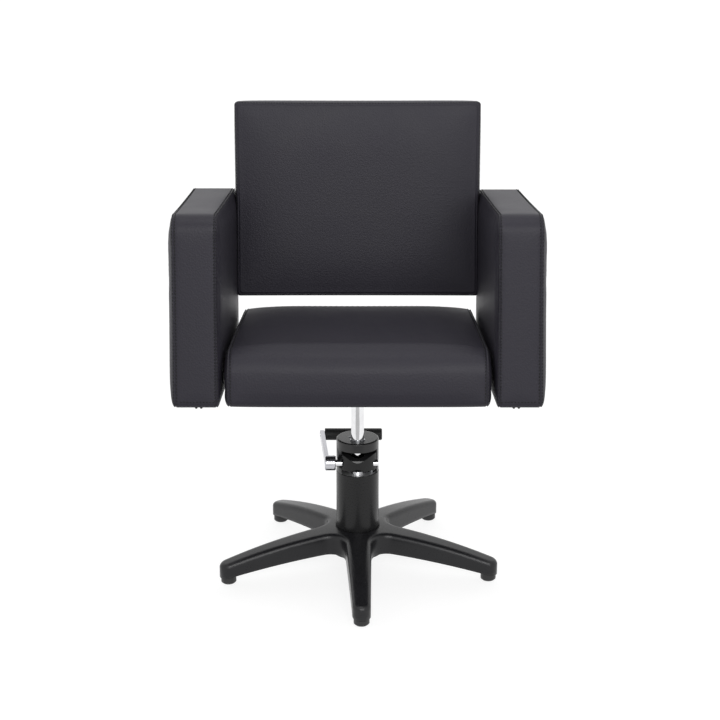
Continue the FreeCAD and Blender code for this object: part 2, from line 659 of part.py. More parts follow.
leverHead = keep(newBody("lever_head"))
roll = sketchOn(leverHead, "Roll", "YZ_Plane", -rollLeft)
circle(roll, -shaftFront, shaftHeight, rollRadius)
pad(leverHead, roll, rollLeft + rollRight)
roomTop = camUnder + camRadius * 2
room = sketchOn(leverHead, "PlungerRoom", "XY_Plane", roomTop)
roomFront = plungerBack - plungerRoom
outline(room, [(zero, roomFront), (headRadius, roomFront), (headRadius, rollRadius), (zero, rollRadius)])
pad(leverHead, room, roomTop, "Pocket")
flat = sketchOn(leverHead, "Flat", "XY_Plane", shaftHeight - rollFlat)
outline(flat, [(-headRadius, -headRadius * 2), (headRadius, -headRadius * 2), (headRadius, headRadius),
               (-headRadius, headRadius)])
pad(leverHead, flat, rollRadius, "Pocket")
cam = sketchOn(leverHead, "Cam", "YZ_Plane", plungerOut - camWidth / 2)
outline(cam, [(-shaftFront, camUnder), (plungerBack, camUnder), (plungerBack, roomTop),
              (-shaftFront, roomTop)])
pad(leverHead, cam, camWidth)
nose = sketchOn(leverHead, "CamNose", "YZ_Plane", plungerOut - camWidth / 2)
circle(nose, plungerBack, camUnder + camRadius, camRadius)
pad(leverHead, nose, camWidth)
relief = sketchOn(leverHead, "Relief", "XY_Plane", headTop)
circle(relief, zero, -ramFront, rollRelief)
pad(leverHead, relief, headTop, "Pocket")
trim = sketchOn(leverHead, "Trim", "XY_Plane", headTop)
circle(trim, zero, zero, headRadius, "Inner")
circle(trim, zero, zero, headRadius * 2, "Outer")
pad(leverHead, trim, headTop, "Pocket")
rollBore = sketchOn(leverHead, "RollBore", "YZ_Plane")
circle(rollBore, -shaftFront, shaftHeight, shaftRadius + runFit)
pad(leverHead, rollBore, headRadius * 3, "Pocket", middle=True)

leverArm = keep(newBody("lever_arm"))
hub = sketchOn(leverArm, "Hub", "YZ_Plane", -hubOuter)
circle(hub, -shaftFront, shaftHeight, hubRadius)
pad(leverArm, hub, hubLength)
doc.recompute()
hubRims = edgesWhere(leverArm.Tip.Shape, lambda e: len(e.Vertexes) == 1)
rounded(leverArm, "HubEdges", hubRims, hubEdge)
barNear = sketchOn(leverArm, "BarNear", "XZ_Plane", shaftFront)
nearLow = shaftHeight - leverHigh / 2
farLow = pedalHeight - leverHigh / 2
outline(barNear, [(-hubOuter, nearLow), (leverThick - hubOuter, nearLow),
                  (leverThick - hubOuter, nearLow + leverHigh), (-hubOuter, nearLow + leverHigh)])
barFar = sketchOn(leverArm, "BarFar", "XZ_Plane", -(pedalBack + leverHigh / 2))
farOut = -hubOuter - leverSplay
outline(barFar, [(farOut, farLow), (farOut + leverThick, farLow),
                 (farOut + leverThick, farLow + leverHigh), (farOut, farLow + leverHigh)])
barLoft = leverArm.newObject("PartDesign::AdditiveLoft", "Bar")
barLoft.Profile = barNear
barLoft.Sections = [barFar]
barLoft.Ruled = True
doc.recompute()
barEnd = pedalBack.value + leverHigh.value / 2


def isBarEnd(edge):
    # the two edges across the far end of the bar
    box = edge.BoundBox
    return box.YMin > barEnd - 0.1 and box.ZLength < 0.1


rounded(leverArm, "BarEnd", edgesWhere(leverArm.Tip.Shape, isBarEnd), leverHigh * 0.45)
hubBore = sketchOn(leverArm, "HubBore", "YZ_Plane", -hubInner)
circle(hubBore, -shaftFront, shaftHeight, shaftRadius + runFit)
pad(leverArm, hubBore, hubLength - hubEdge + seatFit, "Pocket")
coreBore = sketchOn(leverArm, "CoreBore", "YZ_Plane", -hubInner)
circle(coreBore, pedalBack, pedalHeight, pedalCore + runFit)
pad(leverArm, coreBore, hubLength + leverSplay * 2, "Pocket")

coreLeft = hubOuter + leverSplay - leverThick / 4
barReach = pedalBack + leverHigh / 2 + shaftFront
gripLeft = hubOuter - leverThick - seatFit + leverSplay * (pedalBack - gripRadius + shaftFront) / barReach
pedalFrame = FreeCAD.Placement(FreeCAD.Vector(0, pedalBack.value, pedalHeight.value), alongX)
keep(turned("pedal_core", [(zero, -coreLeft), (pedalCore, -coreLeft), (pedalCore, gripRight - gripEnd),
                           (zero, gripRight - gripEnd)], pedalFrame))
gripInside = pedalCore + runFit
gripRound = gripEnd / 2
keep(turned("pedal_grip", [
    (gripInside, -gripLeft), (gripRadius, -gripLeft), (gripRadius, gripRight - gripRound),
    (gripRadius - gripRound, gripRight), (zero, gripRight), (zero, gripRight - gripEnd + seatFit),
    (gripInside, gripRight - gripEnd + seatFit)], pedalFrame))

# Ram: it slides and turns in the head and the block, and the stop ring below its neck ends the stroke.
neckTop = ramRest + ramEdge * 2 + clipThick + stopRingHeight
clipLow = ramRest + ramEdge
keep(turned("ram", [
    (zero, ramRest), (neckRadius, ramRest), (neckRadius, clipLow), (clipGroove, clipLow),
    (clipGroove, clipLow + clipThick + seatFit), (neckRadius, clipLow + clipThick + seatFit),
    (neckRadius, neckTop), (ramRadius, neckTop), (ramRadius, ramTop - ramEdge),
    (ramRadius - ramEdge, ramTop), (zero, ramTop)], ramFrame))
keep(turned("ram_clip", [
    (clipGroove + runFit, clipLow + runFit), (clipRadius, clipLow + runFit),
    (clipRadius, clipLow + clipThick + runFit), (clipGroove + runFit, clipLow + clipThick + runFit)],
    ramFrame))
ringTop = neckTop - seatFit
keep(turned("stop_ring", [
    (neckRadius + runFit, ringTop - stopRingHeight), (cylinderBore - runFit, ringTop - stopRingHeight),
    (cylinderBore - runFit, ringTop), (neckRadius + runFit, ringTop)], ramFrame))

# Socket and mounting plate: the socket stands upright on the ram and meets the raked plate.
plateUnder = seatUnder - plateThick
socketBlank = turned("SocketBlank", [
    (zero, ramTop + seatFit), (ramRadius + runFit, ramTop + seatFit), (ramRadius + runFit, socketBottom),
    (socketRadius - ramEdge, socketBottom), (socketRadius, socketBottom + ramEdge),
    (socketRadius, seatPivot), (zero, seatPivot)], ramFrame)
grubSketch = sketchOn(socketBlank, "GrubHoles", "XZ_Plane")
grubHeight = socketBottom + boltRadius * 3
circle(grubSketch, zero, grubHeight, boltRadius + runFit)
pad(socketBlank, grubSketch, socketRadius * 3, "Pocket", middle=True)
rakeCut = doc.addObject("Part::Box", "RakeCut")
rakeCut.setExpression("Length", (plateHalf * 2).formula)
rakeCut.setExpression("Width", (plateHalf * 2).formula)
rakeCut.setExpression("Height", plateHalf.formula)
rakeCut.Placement = seatFrame.multiply(FreeCAD.Placement(
    FreeCAD.Vector(-plateHalf.value, -plateHalf.value, plateUnder.value), FreeCAD.Rotation()))
keep(combined("Cut", "ram_socket", socketBlank, rakeCut))
grubLength = socketRadius.value - ramRadius.value - runFit.value * 4
grubs = []
for toward in (-1, 1):
    grubs.append(Part.makeCylinder(
        boltRadius.value, grubLength,
        FreeCAD.Vector(0, toward * (ramRadius.value + runFit.value * 2) - ramFront.value, grubHeight.value),
        FreeCAD.Vector(0, toward, 0)))
keep(solidFeature("socket_screws", Part.makeCompound(grubs)))

plate = keep(newBody("mounting_plate", seatFrame))
platePlan = sketchOn(plate, "PlatePlan", "XY_Plane", plateUnder)
plateFront = -ramFront - plateHalf
plateRear = plateHalf - ramFront
outline(platePlan, [(-plateHalf, plateFront), (plateHalf, plateFront), (plateHalf, plateRear),
                    (-plateHalf, plateRear)])
pad(plate, platePlan, plateThick)
doc.recompute()
plateEdges = edgesWhere(plate.Tip.Shape, lambda e: e.BoundBox.ZLength > plateThick.value * 0.9)
rounded(plate, "PlateCorners", plateEdges, plateCorner)
doc.recompute()
plateCorners = [(x, y - ramFront) for x in (-plateBolt, plateBolt) for y in (-plateBolt, plateBolt)]
plateHoles = sketchOn(plate, "PlateHoles", "XY_Plane", seatUnder)
for number, (x, y) in enumerate(plateCorners):
    circle(plateHoles, x, y, boltRadius + seatFit, "Hole%d" % number)
pad(plate, plateHoles, plateThick * 2, "Pocket")

# Seat: board, rail frame and one upholstered cushion that wraps them.
boardHalf = seatHalf - seatCover
boardFront = seatFront - seatCover
boardRear = seatRear - seatCover
boardTop = seatUnder + boardThick
board = keep(newBody("seat_board", seatFrame))
boardPlan = sketchOn(board, "BoardPlan", "XY_Plane", seatUnder)
outline(boardPlan, [(-boardHalf, -boardFront), (boardHalf, -boardFront), (boardHalf, boardRear),
                    (-boardHalf, boardRear)])
pad(board, boardPlan, boardThick)
boardHoles = sketchOn(board, "BoardHoles", "XY_Plane", seatUnder)
for number, (x, y) in enumerate(plateCorners):
    circle(boardHoles, x, y, boltRadius + seatFit, "Hole%d" % number)
pad(board, boardHoles, boardThick - plateThick / 2, "Pocket", back=True)

frame = keep(newBody("seat_frame", seatFrame))
railPlan = sketchOn(frame, "RailPlan", "XY_Plane", boardTop)
outline(railPlan, [(-boardHalf, -boardFront), (boardHalf, -boardFront), (boardHalf, boardRear),
                   (-boardHalf, boardRear)])
pad(frame, railPlan, railHigh)
railRoom = sketchOn(frame, "RailRoom", "XY_Plane", boardTop + railHigh)
roomHalf = boardHalf - railThick
roomFront = boardFront - railThick
roomRear = boardRear - railThick
outline(railRoom, [(-roomHalf, -roomFront), (roomHalf, -roomFront), (roomHalf, roomRear),
                   (-roomHalf, roomRear)])
pad(frame, railRoom, railHigh, "Pocket")
railBolts = sketchOn(frame, "RailBolts", "YZ_Plane")
circle(railBolts, armBoltFront, armBoltUp, boltRadius + seatFit, "Front")
circle(railBolts, armBoltRear, armBoltUp, boltRadius + seatFit, "Rear")
pad(frame, railBolts, seatHalf * 2, "Pocket", middle=True)


def softOutline(x, low, high, radii, bows):
    # upright outline at x: four corner arcs joined by straight or bowed edges
    # corners in turn: front low, rear low, rear high, front high
    f, b = low
    r, t = high
    c = radii
    corner = [((f, b), (1, 1), c[0]), ((r, b), (-1, 1), c[1]), ((r, t), (-1, -1), c[2]),
              ((f, t), (1, -1), c[3])]
    outward = [(0, -1), (1, 0), (0, 1), (-1, 0)]
    arcs = []
    for (y, z), (inY, inZ), radius in corner:
        alongY = FreeCAD.Vector(x, y + inY * radius, z)
        alongZ = FreeCAD.Vector(x, y, z + inZ * radius)
        slack = radius * (1 - math.sqrt(0.5))
        arcs.append((alongY, FreeCAD.Vector(x, y + inY * slack, z + inZ * slack), alongZ))
    starts = [arcs[0][2], arcs[1][0], arcs[2][2], arcs[3][0]]
    ends = [arcs[0][0], arcs[1][2], arcs[2][0], arcs[3][2]]
    edges = []
    for i in range(4):
        edges.append(Part.Arc(starts[i], arcs[i][1], ends[i]).toShape())
        out = FreeCAD.Vector(0, outward[i][0], outward[i][1]) * bows[i]
        edges.append(bowedEdge(ends[i], starts[(i + 1) % 4], out))
    return Part.Wire(edges)


def edgeSteps(edge):
    # distance from the face and inset, from the face round to the side
    steps = []
    for degrees in (90, 45, 0):
        turnTo = math.radians(degrees)
        steps.append((edge * (1 - math.sin(turnTo)), edge * (1 - math.cos(turnTo))))
    return steps


def softSlab(thick, low, high, radii, edge, crown, bow):
    # upholstered panel of a thickness along X, with rounded rims and crowned faces
    reach = (high[1] - low[1]) * 0.2
    side = [(-crown, edge + reach)] + edgeSteps(edge)
    stations = side + [(thick - d, inset) for d, inset in reversed(side)]
    wires = []
    for x, inset in stations:
        lowIn = (low[0] + inset, low[1] + inset)
        highIn = (high[0] - inset, high[1] - inset)
        wires.append(softOutline(x, lowIn, highIn, radii, (-bow, -bow, -bow, -bow)))
    return Part.makeLoft(wires, True, True)


def seatForm():
    half = seatHalf.value
    edge = seatSide.value
    side = [(d - half, inset) for d, inset in edgeSteps(edge)]
    inner = [(half * share, 0) for share in (-0.7, -0.35, 0, 0.35, 0.7)]
    stations = side + inner + [(-x, inset) for x, inset in reversed(side)]
    wires = []
    for x, inset in stations:
        lift = seatCrown.value * (1 - (x / half) ** 2)
        low = (inset - seatFront.value, seatUnder.value + inset * 0.6)
        high = (seatRear.value - inset, seatHigh.value - inset + lift)
        radii = (seatSide.value, seatSide.value * 0.6, seatSide.value * 1.2, seatRoll.value)
        wires.append(softOutline(x, low, high, radii, (0, 0, seatCrown.value * 0.6, 0)))
    return Part.makeLoft(wires, True, True)


def grown(low, high, by):
    return block([v - by for v in low], [v + by for v in high])


slack = softFit.value
railLow = (-boardHalf.value, -boardFront.value, boardTop.value)
railTall = (boardHalf.value, boardRear.value, boardTop.value + railHigh.value)
roomLow = (-roomHalf.value + slack, -roomFront.value + slack, boardTop.value + slack)
roomTall = (roomHalf.value - slack, roomRear.value - slack, boardTop.value + railHigh.value + slack * 2)
railBlock = grown(railLow, railTall, slack).cut(block(roomLow, roomTall))
boardBlock = grown((-boardHalf.value, -boardFront.value, seatUnder.value * 2),
                   (boardHalf.value, boardRear.value, boardTop.value), slack)
spacerHole = spacerRadius.value + slack
headRoom = boltHead.value + slack
armSpots = [(armBoltFront.value, armBoltUp.value), (armBoltRear.value, armBoltUp.value)]
backMiddle = backFront.value + backThick.value / 2
backSpots = [(backMiddle, backBoltLow.value), (backMiddle, backBoltHigh.value)]
railFace = boardHalf.value - railThick.value
cushion = seatForm().cut(boardBlock).cut(railBlock)
for y, z in armSpots:
    cushion = cushion.cut(bar(spacerHole, -seatHalf.value * 2, -boardHalf.value, y, z))
    cushion = cushion.cut(bar(spacerHole, boardHalf.value, seatHalf.value * 2, y, z))
    inside = railFace - boltHeadThick.value - slack
    cushion = cushion.cut(bar(headRoom, -railFace, -inside, y, z))
    cushion = cushion.cut(bar(headRoom, inside, railFace, y, z))
keep(solidFeature("seat_cushion", cushion, seatFrame))

# Arms: a wooden core in an upholstered cover that is open below, where it is closed over the core.
coreSide = (armThick.value - armCore.value) / 2
coreFace = armInner.value + coreSide
armLow = (-armFront.value, armUnder.value)
armTop = (armRear.value, armHigh.value)
armRadii = (armCorner.value, armCorner.value, armCorner.value, armNose.value)
coreFront = armCover.value - armFront.value
coreRear = armRear.value - armCover.value
coreHigh = armHigh.value - armCover.value
coreNose = armNose.value * 0.5


def coreSlab(start, thick, low, high, radius, by):
    # flat wooden board with rounded upper corners, across X
    wire = softOutline(start - by, (low[0] - by, low[1] - by), (high[0] + by, high[1] + by),
                       (1, 1, radius, radius), (0, 0, 0, 0))
    return Part.Face(wire).extrude(FreeCAD.Vector(thick + by * 2, 0, 0))


armCoreBlank = coreSlab(coreFace, armCore.value, (coreFront, armUnder.value), (coreRear, coreHigh),
                        coreNose, 0)
armPad = softSlab(armThick.value, armLow, armTop, armRadii, armEdge.value, armCrown.value, drawIn.value)
armPad.translate(FreeCAD.Vector(armInner.value, 0, 0))
armPad = armPad.cut(coreSlab(coreFace, armCore.value, (coreFront, armUnder.value * 2),
                             (coreRear, coreHigh), coreNose, slack))
for y, z in armSpots + backSpots:
    armPad = armPad.cut(bar(spacerHole, armInner.value / 2, coreFace, y, z))
    armCoreBlank = armCoreBlank.cut(bar(boltRadius.value + seatFit.value, armInner.value,
                                        coreFace + boltGrip.value + seatFit.value, y, z))
for y, z in backSpots:
    outside = coreFace + armCore.value
    armPad = armPad.cut(bar(headRoom, outside, outside + boltHeadThick.value + slack, y, z))
    armCoreBlank = armCoreBlank.cut(bar(boltRadius.value + seatFit.value, coreFace, outside + 1, y, z))
middlePlane = (FreeCAD.Vector(0, 0, 0), FreeCAD.Vector(1, 0, 0))
keep(solidFeature("arm_core_left", armCoreBlank, seatFrame))
keep(solidFeature("arm_core_right", armCoreBlank.mirror(*middlePlane), seatFrame))
keep(solidFeature("arm_cushion_left", armPad, seatFrame))
keep(solidFeature("arm_cushion_right", armPad.mirror(*middlePlane), seatFrame))

# Back: a wooden core in an upholstered panel between the arms, held by its bolts and spacers.
coreHalf = backHalf.value - backCover.value
acrossBack = FreeCAD.Placement(FreeCAD.Vector(0, backFront.value, 0),
                               FreeCAD.Rotation(FreeCAD.Vector(0, 0, 1), 90))
backPad = softSlab(backThick.value, (-backHalf.value, backUnder.value), (backHalf.value, backHigh.value),
                   (backCorner.value,) * 4, backEdge.value, backCrown.value, drawIn.value)
backPad.Placement = acrossBack
coreBack = (backThick.value - backCore.value) / 2
backBoard = coreSlab(coreBack, backCore.value, (-coreHalf, backUnder.value),
                     (coreHalf, backHigh.value - backCover.value), backCorner.value, 0)
backRoom = coreSlab(coreBack, backCore.value, (-coreHalf, 0),
                    (coreHalf, backHigh.value - backCover.value), backCorner.value, slack)
backBoard.Placement = acrossBack
backRoom.Placement = acrossBack
backPad = backPad.cut(backRoom)
for y, z in backSpots:
    backPad = backPad.cut(bar(spacerHole, -backHalf.value * 2, -coreHalf, y, z))
    backPad = backPad.cut(bar(spacerHole, coreHalf, backHalf.value * 2, y, z))
    for side in (-1, 1):
        hole = bar(boltRadius.value + seatFit.value, coreHalf - boltGrip.value, coreHalf + 1, y, z)
        backBoard = backBoard.cut(hole if side > 0 else hole.mirror(*middlePlane))
keep(solidFeature("back_core", backBoard, seatFrame))
keep(solidFeature("back_cushion", backPad, seatFrame))


# Fasteners of the upholstered parts, each group on both sides.


def spacers(start, end, spots):
    found = []
    for y, z in spots:
        ring = bar(spacerRadius.value, start, end, y, z).cut(
            bar(boltRadius.value + seatFit.value, start, end, y, z))
        found += [ring, ring.mirror(*middlePlane)]
    return Part.makeCompound(found)


def sideBolts(head, length, toward, spots):
    bolt = hexBolt(boltHead.value, boltHeadThick.value, boltRadius.value, length)
    found = []
    for one in placedBolts(bolt, [(head, y, z) for y, z in spots], (toward, 0, 0)):
        found += [one, one.mirror(*middlePlane)]
    return Part.makeCompound(found)


keep(solidFeature("arm_spacers", spacers(boardHalf.value, coreFace, armSpots), seatFrame))
keep(solidFeature("back_spacers", spacers(coreHalf, coreFace, backSpots), seatFrame))
armBoltLength = coreFace + boltGrip.value - railFace
keep(solidFeature("arm_bolts", sideBolts(railFace, armBoltLength, 1, armSpots), seatFrame))
backBoltStart = coreFace + armCore.value
backBoltLength = backBoltStart - coreHalf + boltGrip.value - seatFit.value
keep(solidFeature("back_bolts", sideBolts(backBoltStart, backBoltLength, -1, backSpots), seatFrame))
plateBoltShape = hexBolt(boltHead.value, boltHeadThick.value, boltRadius.value,
                         plateThick.value + boardThick.value / 2)
plateSpots = [(x.value, y.value, plateUnder.value) for x, y in plateCorners]
keep(solidFeature("plate_bolts", Part.makeCompound(placedBolts(plateBoltShape, plateSpots, (0, 0, 1))),
                  seatFrame))

doc.recompute()
faults = [o.Label for o in doc.Objects if "Invalid" in o.State or "Error" in o.State]
for piece in pieces:
    if piece.Shape.isNull() or not piece.Shape.isValid():
        faults.append(piece.Label)
if faults:
    raise SystemExit("not built: " + ", ".join(sorted(set(faults))))
os.makedirs("parts", exist_ok=True)
for piece in pieces:
    piece.Shape.exportStep("parts/%s.step" % piece.Label)
print("wrote %d pieces" % len(pieces))
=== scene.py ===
import json
import math
import bpy
import numpy as np
from mathutils import Matrix, Vector
from mathutils.bvhtree import BVHTree
from mathutils.kdtree import KDTree


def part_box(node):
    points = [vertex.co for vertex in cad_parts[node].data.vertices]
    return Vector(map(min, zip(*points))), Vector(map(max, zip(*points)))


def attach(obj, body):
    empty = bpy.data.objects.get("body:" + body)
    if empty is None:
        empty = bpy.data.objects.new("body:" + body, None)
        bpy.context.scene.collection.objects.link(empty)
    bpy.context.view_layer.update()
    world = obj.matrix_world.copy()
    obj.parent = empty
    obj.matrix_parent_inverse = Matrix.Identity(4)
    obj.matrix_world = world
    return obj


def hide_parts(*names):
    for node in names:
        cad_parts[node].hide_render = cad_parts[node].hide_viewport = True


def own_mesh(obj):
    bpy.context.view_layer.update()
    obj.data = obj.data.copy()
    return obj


# Hydraulic salon styling chair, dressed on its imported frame.
# Metres throughout; a setting whose name ends in Mm is in millimetres.
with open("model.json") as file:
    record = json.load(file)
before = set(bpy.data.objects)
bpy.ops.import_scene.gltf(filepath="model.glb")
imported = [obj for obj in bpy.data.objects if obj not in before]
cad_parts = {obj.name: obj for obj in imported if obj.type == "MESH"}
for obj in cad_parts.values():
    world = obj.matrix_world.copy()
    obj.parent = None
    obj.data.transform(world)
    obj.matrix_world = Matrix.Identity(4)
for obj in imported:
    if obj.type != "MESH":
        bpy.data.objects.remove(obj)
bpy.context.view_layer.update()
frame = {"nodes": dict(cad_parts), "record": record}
cadNodes = frame["nodes"]
print("frame loaded, nodes:", len(cadNodes))

scene = bpy.context.scene
seatRake = math.radians(-7)      # seat, arms and back lean back together
rakePivot = 0.420
seatMatrix = Matrix.Translation((0, 0, rakePivot)) @ Matrix.Rotation(seatRake, 4, "X")


def linear(hexColour):
    # sRGB hex to the linear values that a shader takes
    channels = [int(hexColour[i:i + 2], 16) / 255 for i in (1, 3, 5)]
    return [c / 12.92 if c <= 0.04045 else ((c + 0.055) / 1.055) ** 2.4 for c in channels] + [1.0]


def addNode(tree, kind, settings=None, links=None, feeds=None):
    # settings by name or by input number, links into its inputs, feeds from its outputs
    node = tree.nodes.new(kind)
    for key, value in (settings or {}).items():
        if isinstance(key, int) or key in node.inputs:
            node.inputs[key].default_value = value
        else:
            setattr(node, key, value)
    for key, source in (links or {}).items():
        tree.links.new(source, node.inputs[key])
    for key, target in (feeds or {}).items():
        tree.links.new(node.outputs[key], target)
    return node


def newFinish(name, look):
    material = bpy.data.materials.new(name)
    material.use_nodes = True
    tree = material.node_tree
    shader = tree.nodes["Principled BSDF"]
    shader.inputs["Base Color"].default_value = linear(look["light"])
    shader.inputs["Roughness"].default_value = look["rough"]
    shader.inputs["Metallic"].default_value = look.get("metallic", 0.0)
    shader.inputs["Specular IOR Level"].default_value = look.get("shine", 0.5)
    place = addNode(tree, "ShaderNodeTexCoord").outputs["Object"]
    return material, tree, shader, place


def perMm(sizeMm):
    # texture scale at which one pattern cell is this many millimetres
    return 1000.0 / sizeMm


def layFinish(tree, shader, look, tint, gloss, height):
    # colour from dark to light, gloss from smooth to rough and relief, each by its own pattern
    # (a colour mix takes its two colours at inputs 6 and 7 and gives its result at output 2)
    addNode(tree, "ShaderNodeMix",
            {"data_type": "RGBA", 6: linear(look["dark"]), 7: linear(look["light"])},
            {"Factor": tint}, {2: shader.inputs["Base Color"]})
    if "smooth" in look:
        addNode(tree, "ShaderNodeMapRange", {"To Min": look["smooth"], "To Max": look["rough"]},
                {"Value": gloss}, {"Result": shader.inputs["Roughness"]})
    return addNode(tree, "ShaderNodeBump",
                   {"Distance": look["reliefMm"] / 1000, "Strength": look.get("strength", 1.0)},
                   {"Height": height}, {"Normal": shader.inputs["Normal"]})


def makeVinyl():
    # calendered vinyl, embossed: a pebbled satin skin that shines softly where it turns to the light
    # (the pebbles of the real skin are about 1 mm, drawn coarser so that they show at this distance)
    look = {"dark": "#25232b", "light": "#2c2a33", "smooth": 0.46, "rough": 0.56, "shine": 0.28,
            "grainMm": 3.6, "scatter": 0.9, "fineMm": 1.4, "fineShare": 0.3, "cloudMm": 90,
            "reliefMm": 0.30, "strength": 0.8}
    material, tree, shader, place = newFinish("embossed_black_vinyl", look)
    grain = addNode(tree, "ShaderNodeTexVoronoi",
                    {"Scale": perMm(look["grainMm"]), "Randomness": look["scatter"]}, {"Vector": place})
    fine = addNode(tree, "ShaderNodeTexNoise", {"Scale": perMm(look["fineMm"]), "Detail": 2.0},
                   {"Vector": place})
    cloud = addNode(tree, "ShaderNodeTexNoise", {"Scale": perMm(look["cloudMm"]), "Detail": 3.0},
                    {"Vector": place})
    height = addNode(tree, "ShaderNodeMath", {"operation": "MULTIPLY_ADD", 1: look["fineShare"]},
                     {0: fine.outputs["Fac"], 2: grain.outputs["Distance"]})
    layFinish(tree, shader, look, cloud.outputs["Fac"], cloud.outputs["Fac"], height.outputs[0])
    return material


def makeThread():
    # spun polyester thread: dull, with the ply twisting round it
    # (a wave texture repeats about three times in its cell, so the ply shows every 0.5 mm)
    look = {"dark": "#08080a", "light": "#0f0f11", "rough": 0.85, "cellMm": 1.6, "wavy": 1.0,
            "reliefMm": 0.1}
    material, tree, shader, place = newFinish("twisted_polyester_thread", look)
    ply = addNode(tree, "ShaderNodeTexWave",
                  {"Scale": perMm(look["cellMm"]), "Distortion": look["wavy"]},
                  {"Vector": place}).outputs["Fac"]
    layFinish(tree, shader, look, ply, ply, ply)
    return material


def makePowderCoat():
    # cast aluminium under satin powder coat: slight orange peel over the sand casting's soft unevenness,
    # and edges rounder than the solid's
    look = {"dark": "#19191b", "light": "#232326", "smooth": 0.24, "rough": 0.34, "shine": 0.35,
            "peelMm": 2.2, "peelShare": 0.12, "sandMm": 26, "reliefMm": 0.35, "strength": 0.5,
            "edgeMm": 9, "edgeSamples": 8}
    material, tree, shader, place = newFinish("satin_powder_coated_casting", look)
    peel = addNode(tree, "ShaderNodeTexNoise", {"Scale": perMm(look["peelMm"]), "Detail": 2.0},
                   {"Vector": place})
    sand = addNode(tree, "ShaderNodeTexNoise", {"Scale": perMm(look["sandMm"]), "Detail": 4.0},
                   {"Vector": place})
    both = addNode(tree, "ShaderNodeMath", {"operation": "MULTIPLY_ADD", 1: look["peelShare"]},
                   {0: peel.outputs["Fac"], 2: sand.outputs["Fac"]})
    relief = layFinish(tree, shader, look, sand.outputs["Fac"], peel.outputs["Fac"], both.outputs[0])
    addNode(tree, "ShaderNodeBevel",
            {"samples": look["edgeSamples"], "Radius": look["edgeMm"] / 1000},
            feeds={"Normal": relief.inputs["Normal"]})
    return material


def makePaintedSteel(name, look):
    # sprayed or brushed enamel on metal: even skin with a fine speckle of dust in it
    look = {**look, "speckleMm": 3, "cloudMm": 60, "reliefMm": 0.012, "strength": 0.3}
    material, tree, shader, place = newFinish(name, look)
    speckle = addNode(tree, "ShaderNodeTexNoise", {"Scale": perMm(look["speckleMm"]), "Detail": 3.0},
                      {"Vector": place}).outputs["Fac"]
    cloud = addNode(tree, "ShaderNodeTexNoise", {"Scale": perMm(look["cloudMm"]), "Detail": 2.0},
                    {"Vector": place}).outputs["Fac"]
    layFinish(tree, shader, look, cloud, speckle, speckle)
    return material


def makePlated(name, look):
    # plated or bare metal: bright, with handling marks that show in its gloss and a little in its tone
    look = {**look, "metallic": 1.0, "reliefMm": 0.01, "strength": 0.3}
    material, tree, shader, place = newFinish(name, look)
    marks = addNode(tree, "ShaderNodeTexNoise", {"Scale": perMm(look["marksMm"]), "Detail": 5.0},
                    {"Vector": place}).outputs["Fac"]
    layFinish(tree, shader, look, marks, marks, marks)
    return material


def makeTurned(name, look):
    # lathe-turned metal: fine rings about the upright axis, drawn 20 times coarser to show
    # (a wave texture repeats about three times in its cell: rings of 0.25 mm, drawn 5 mm apart)
    look = {**look, "rough": 0.5, "metallic": 1.0, "cellMm": 0.8, "drawnCoarser": 20,
            "reliefMm": 0.03, "strength": 0.5}
    material, tree, shader, place = newFinish(name, look)
    rings = addNode(tree, "ShaderNodeTexWave",
                    {"wave_type": "RINGS", "rings_direction": "Z",
                     "Scale": perMm(look["cellMm"] * look["drawnCoarser"])},
                    {"Vector": place}).outputs["Fac"]
    layFinish(tree, shader, look, rings, rings, rings)
    return material


def makeMoulded(name, look):
    # moulded rubber or plastic: matt, with the fine spark-eroded grain of the mould and scuffs
    material, tree, shader, place = newFinish(name, look)
    grain = addNode(tree, "ShaderNodeTexNoise", {"Scale": perMm(look["grainMm"]), "Detail": 3.0},
                    {"Vector": place}).outputs["Fac"]
    scuff = addNode(tree, "ShaderNodeTexNoise", {"Scale": perMm(look["scuffMm"]), "Detail": 4.0},
                    {"Vector": place}).outputs["Fac"]
    layFinish(tree, shader, look, scuff, scuff, grain)
    return material


def makePlywood():
    # birch plywood, sawn and unfinished: long grain on the faces, stripes of ply on the edges
    look = {"dark": "#a07c50", "light": "#cdb083", "rough": 0.62, "grainMm": 9, "along": 0.12,
            "reliefMm": 0.15, "strength": 0.5}
    material, tree, shader, place = newFinish("sawn_birch_plywood", look)
    stretch = addNode(tree, "ShaderNodeMapping", {"Scale": (1.0, look["along"], 1.0)}, {"Vector": place})
    grain = addNode(tree, "ShaderNodeTexNoise", {"Scale": perMm(look["grainMm"]), "Detail": 5.0},
                    {"Vector": stretch.outputs["Vector"]}).outputs["Fac"]
    layFinish(tree, shader, look, grain, grain, grain)
    return material


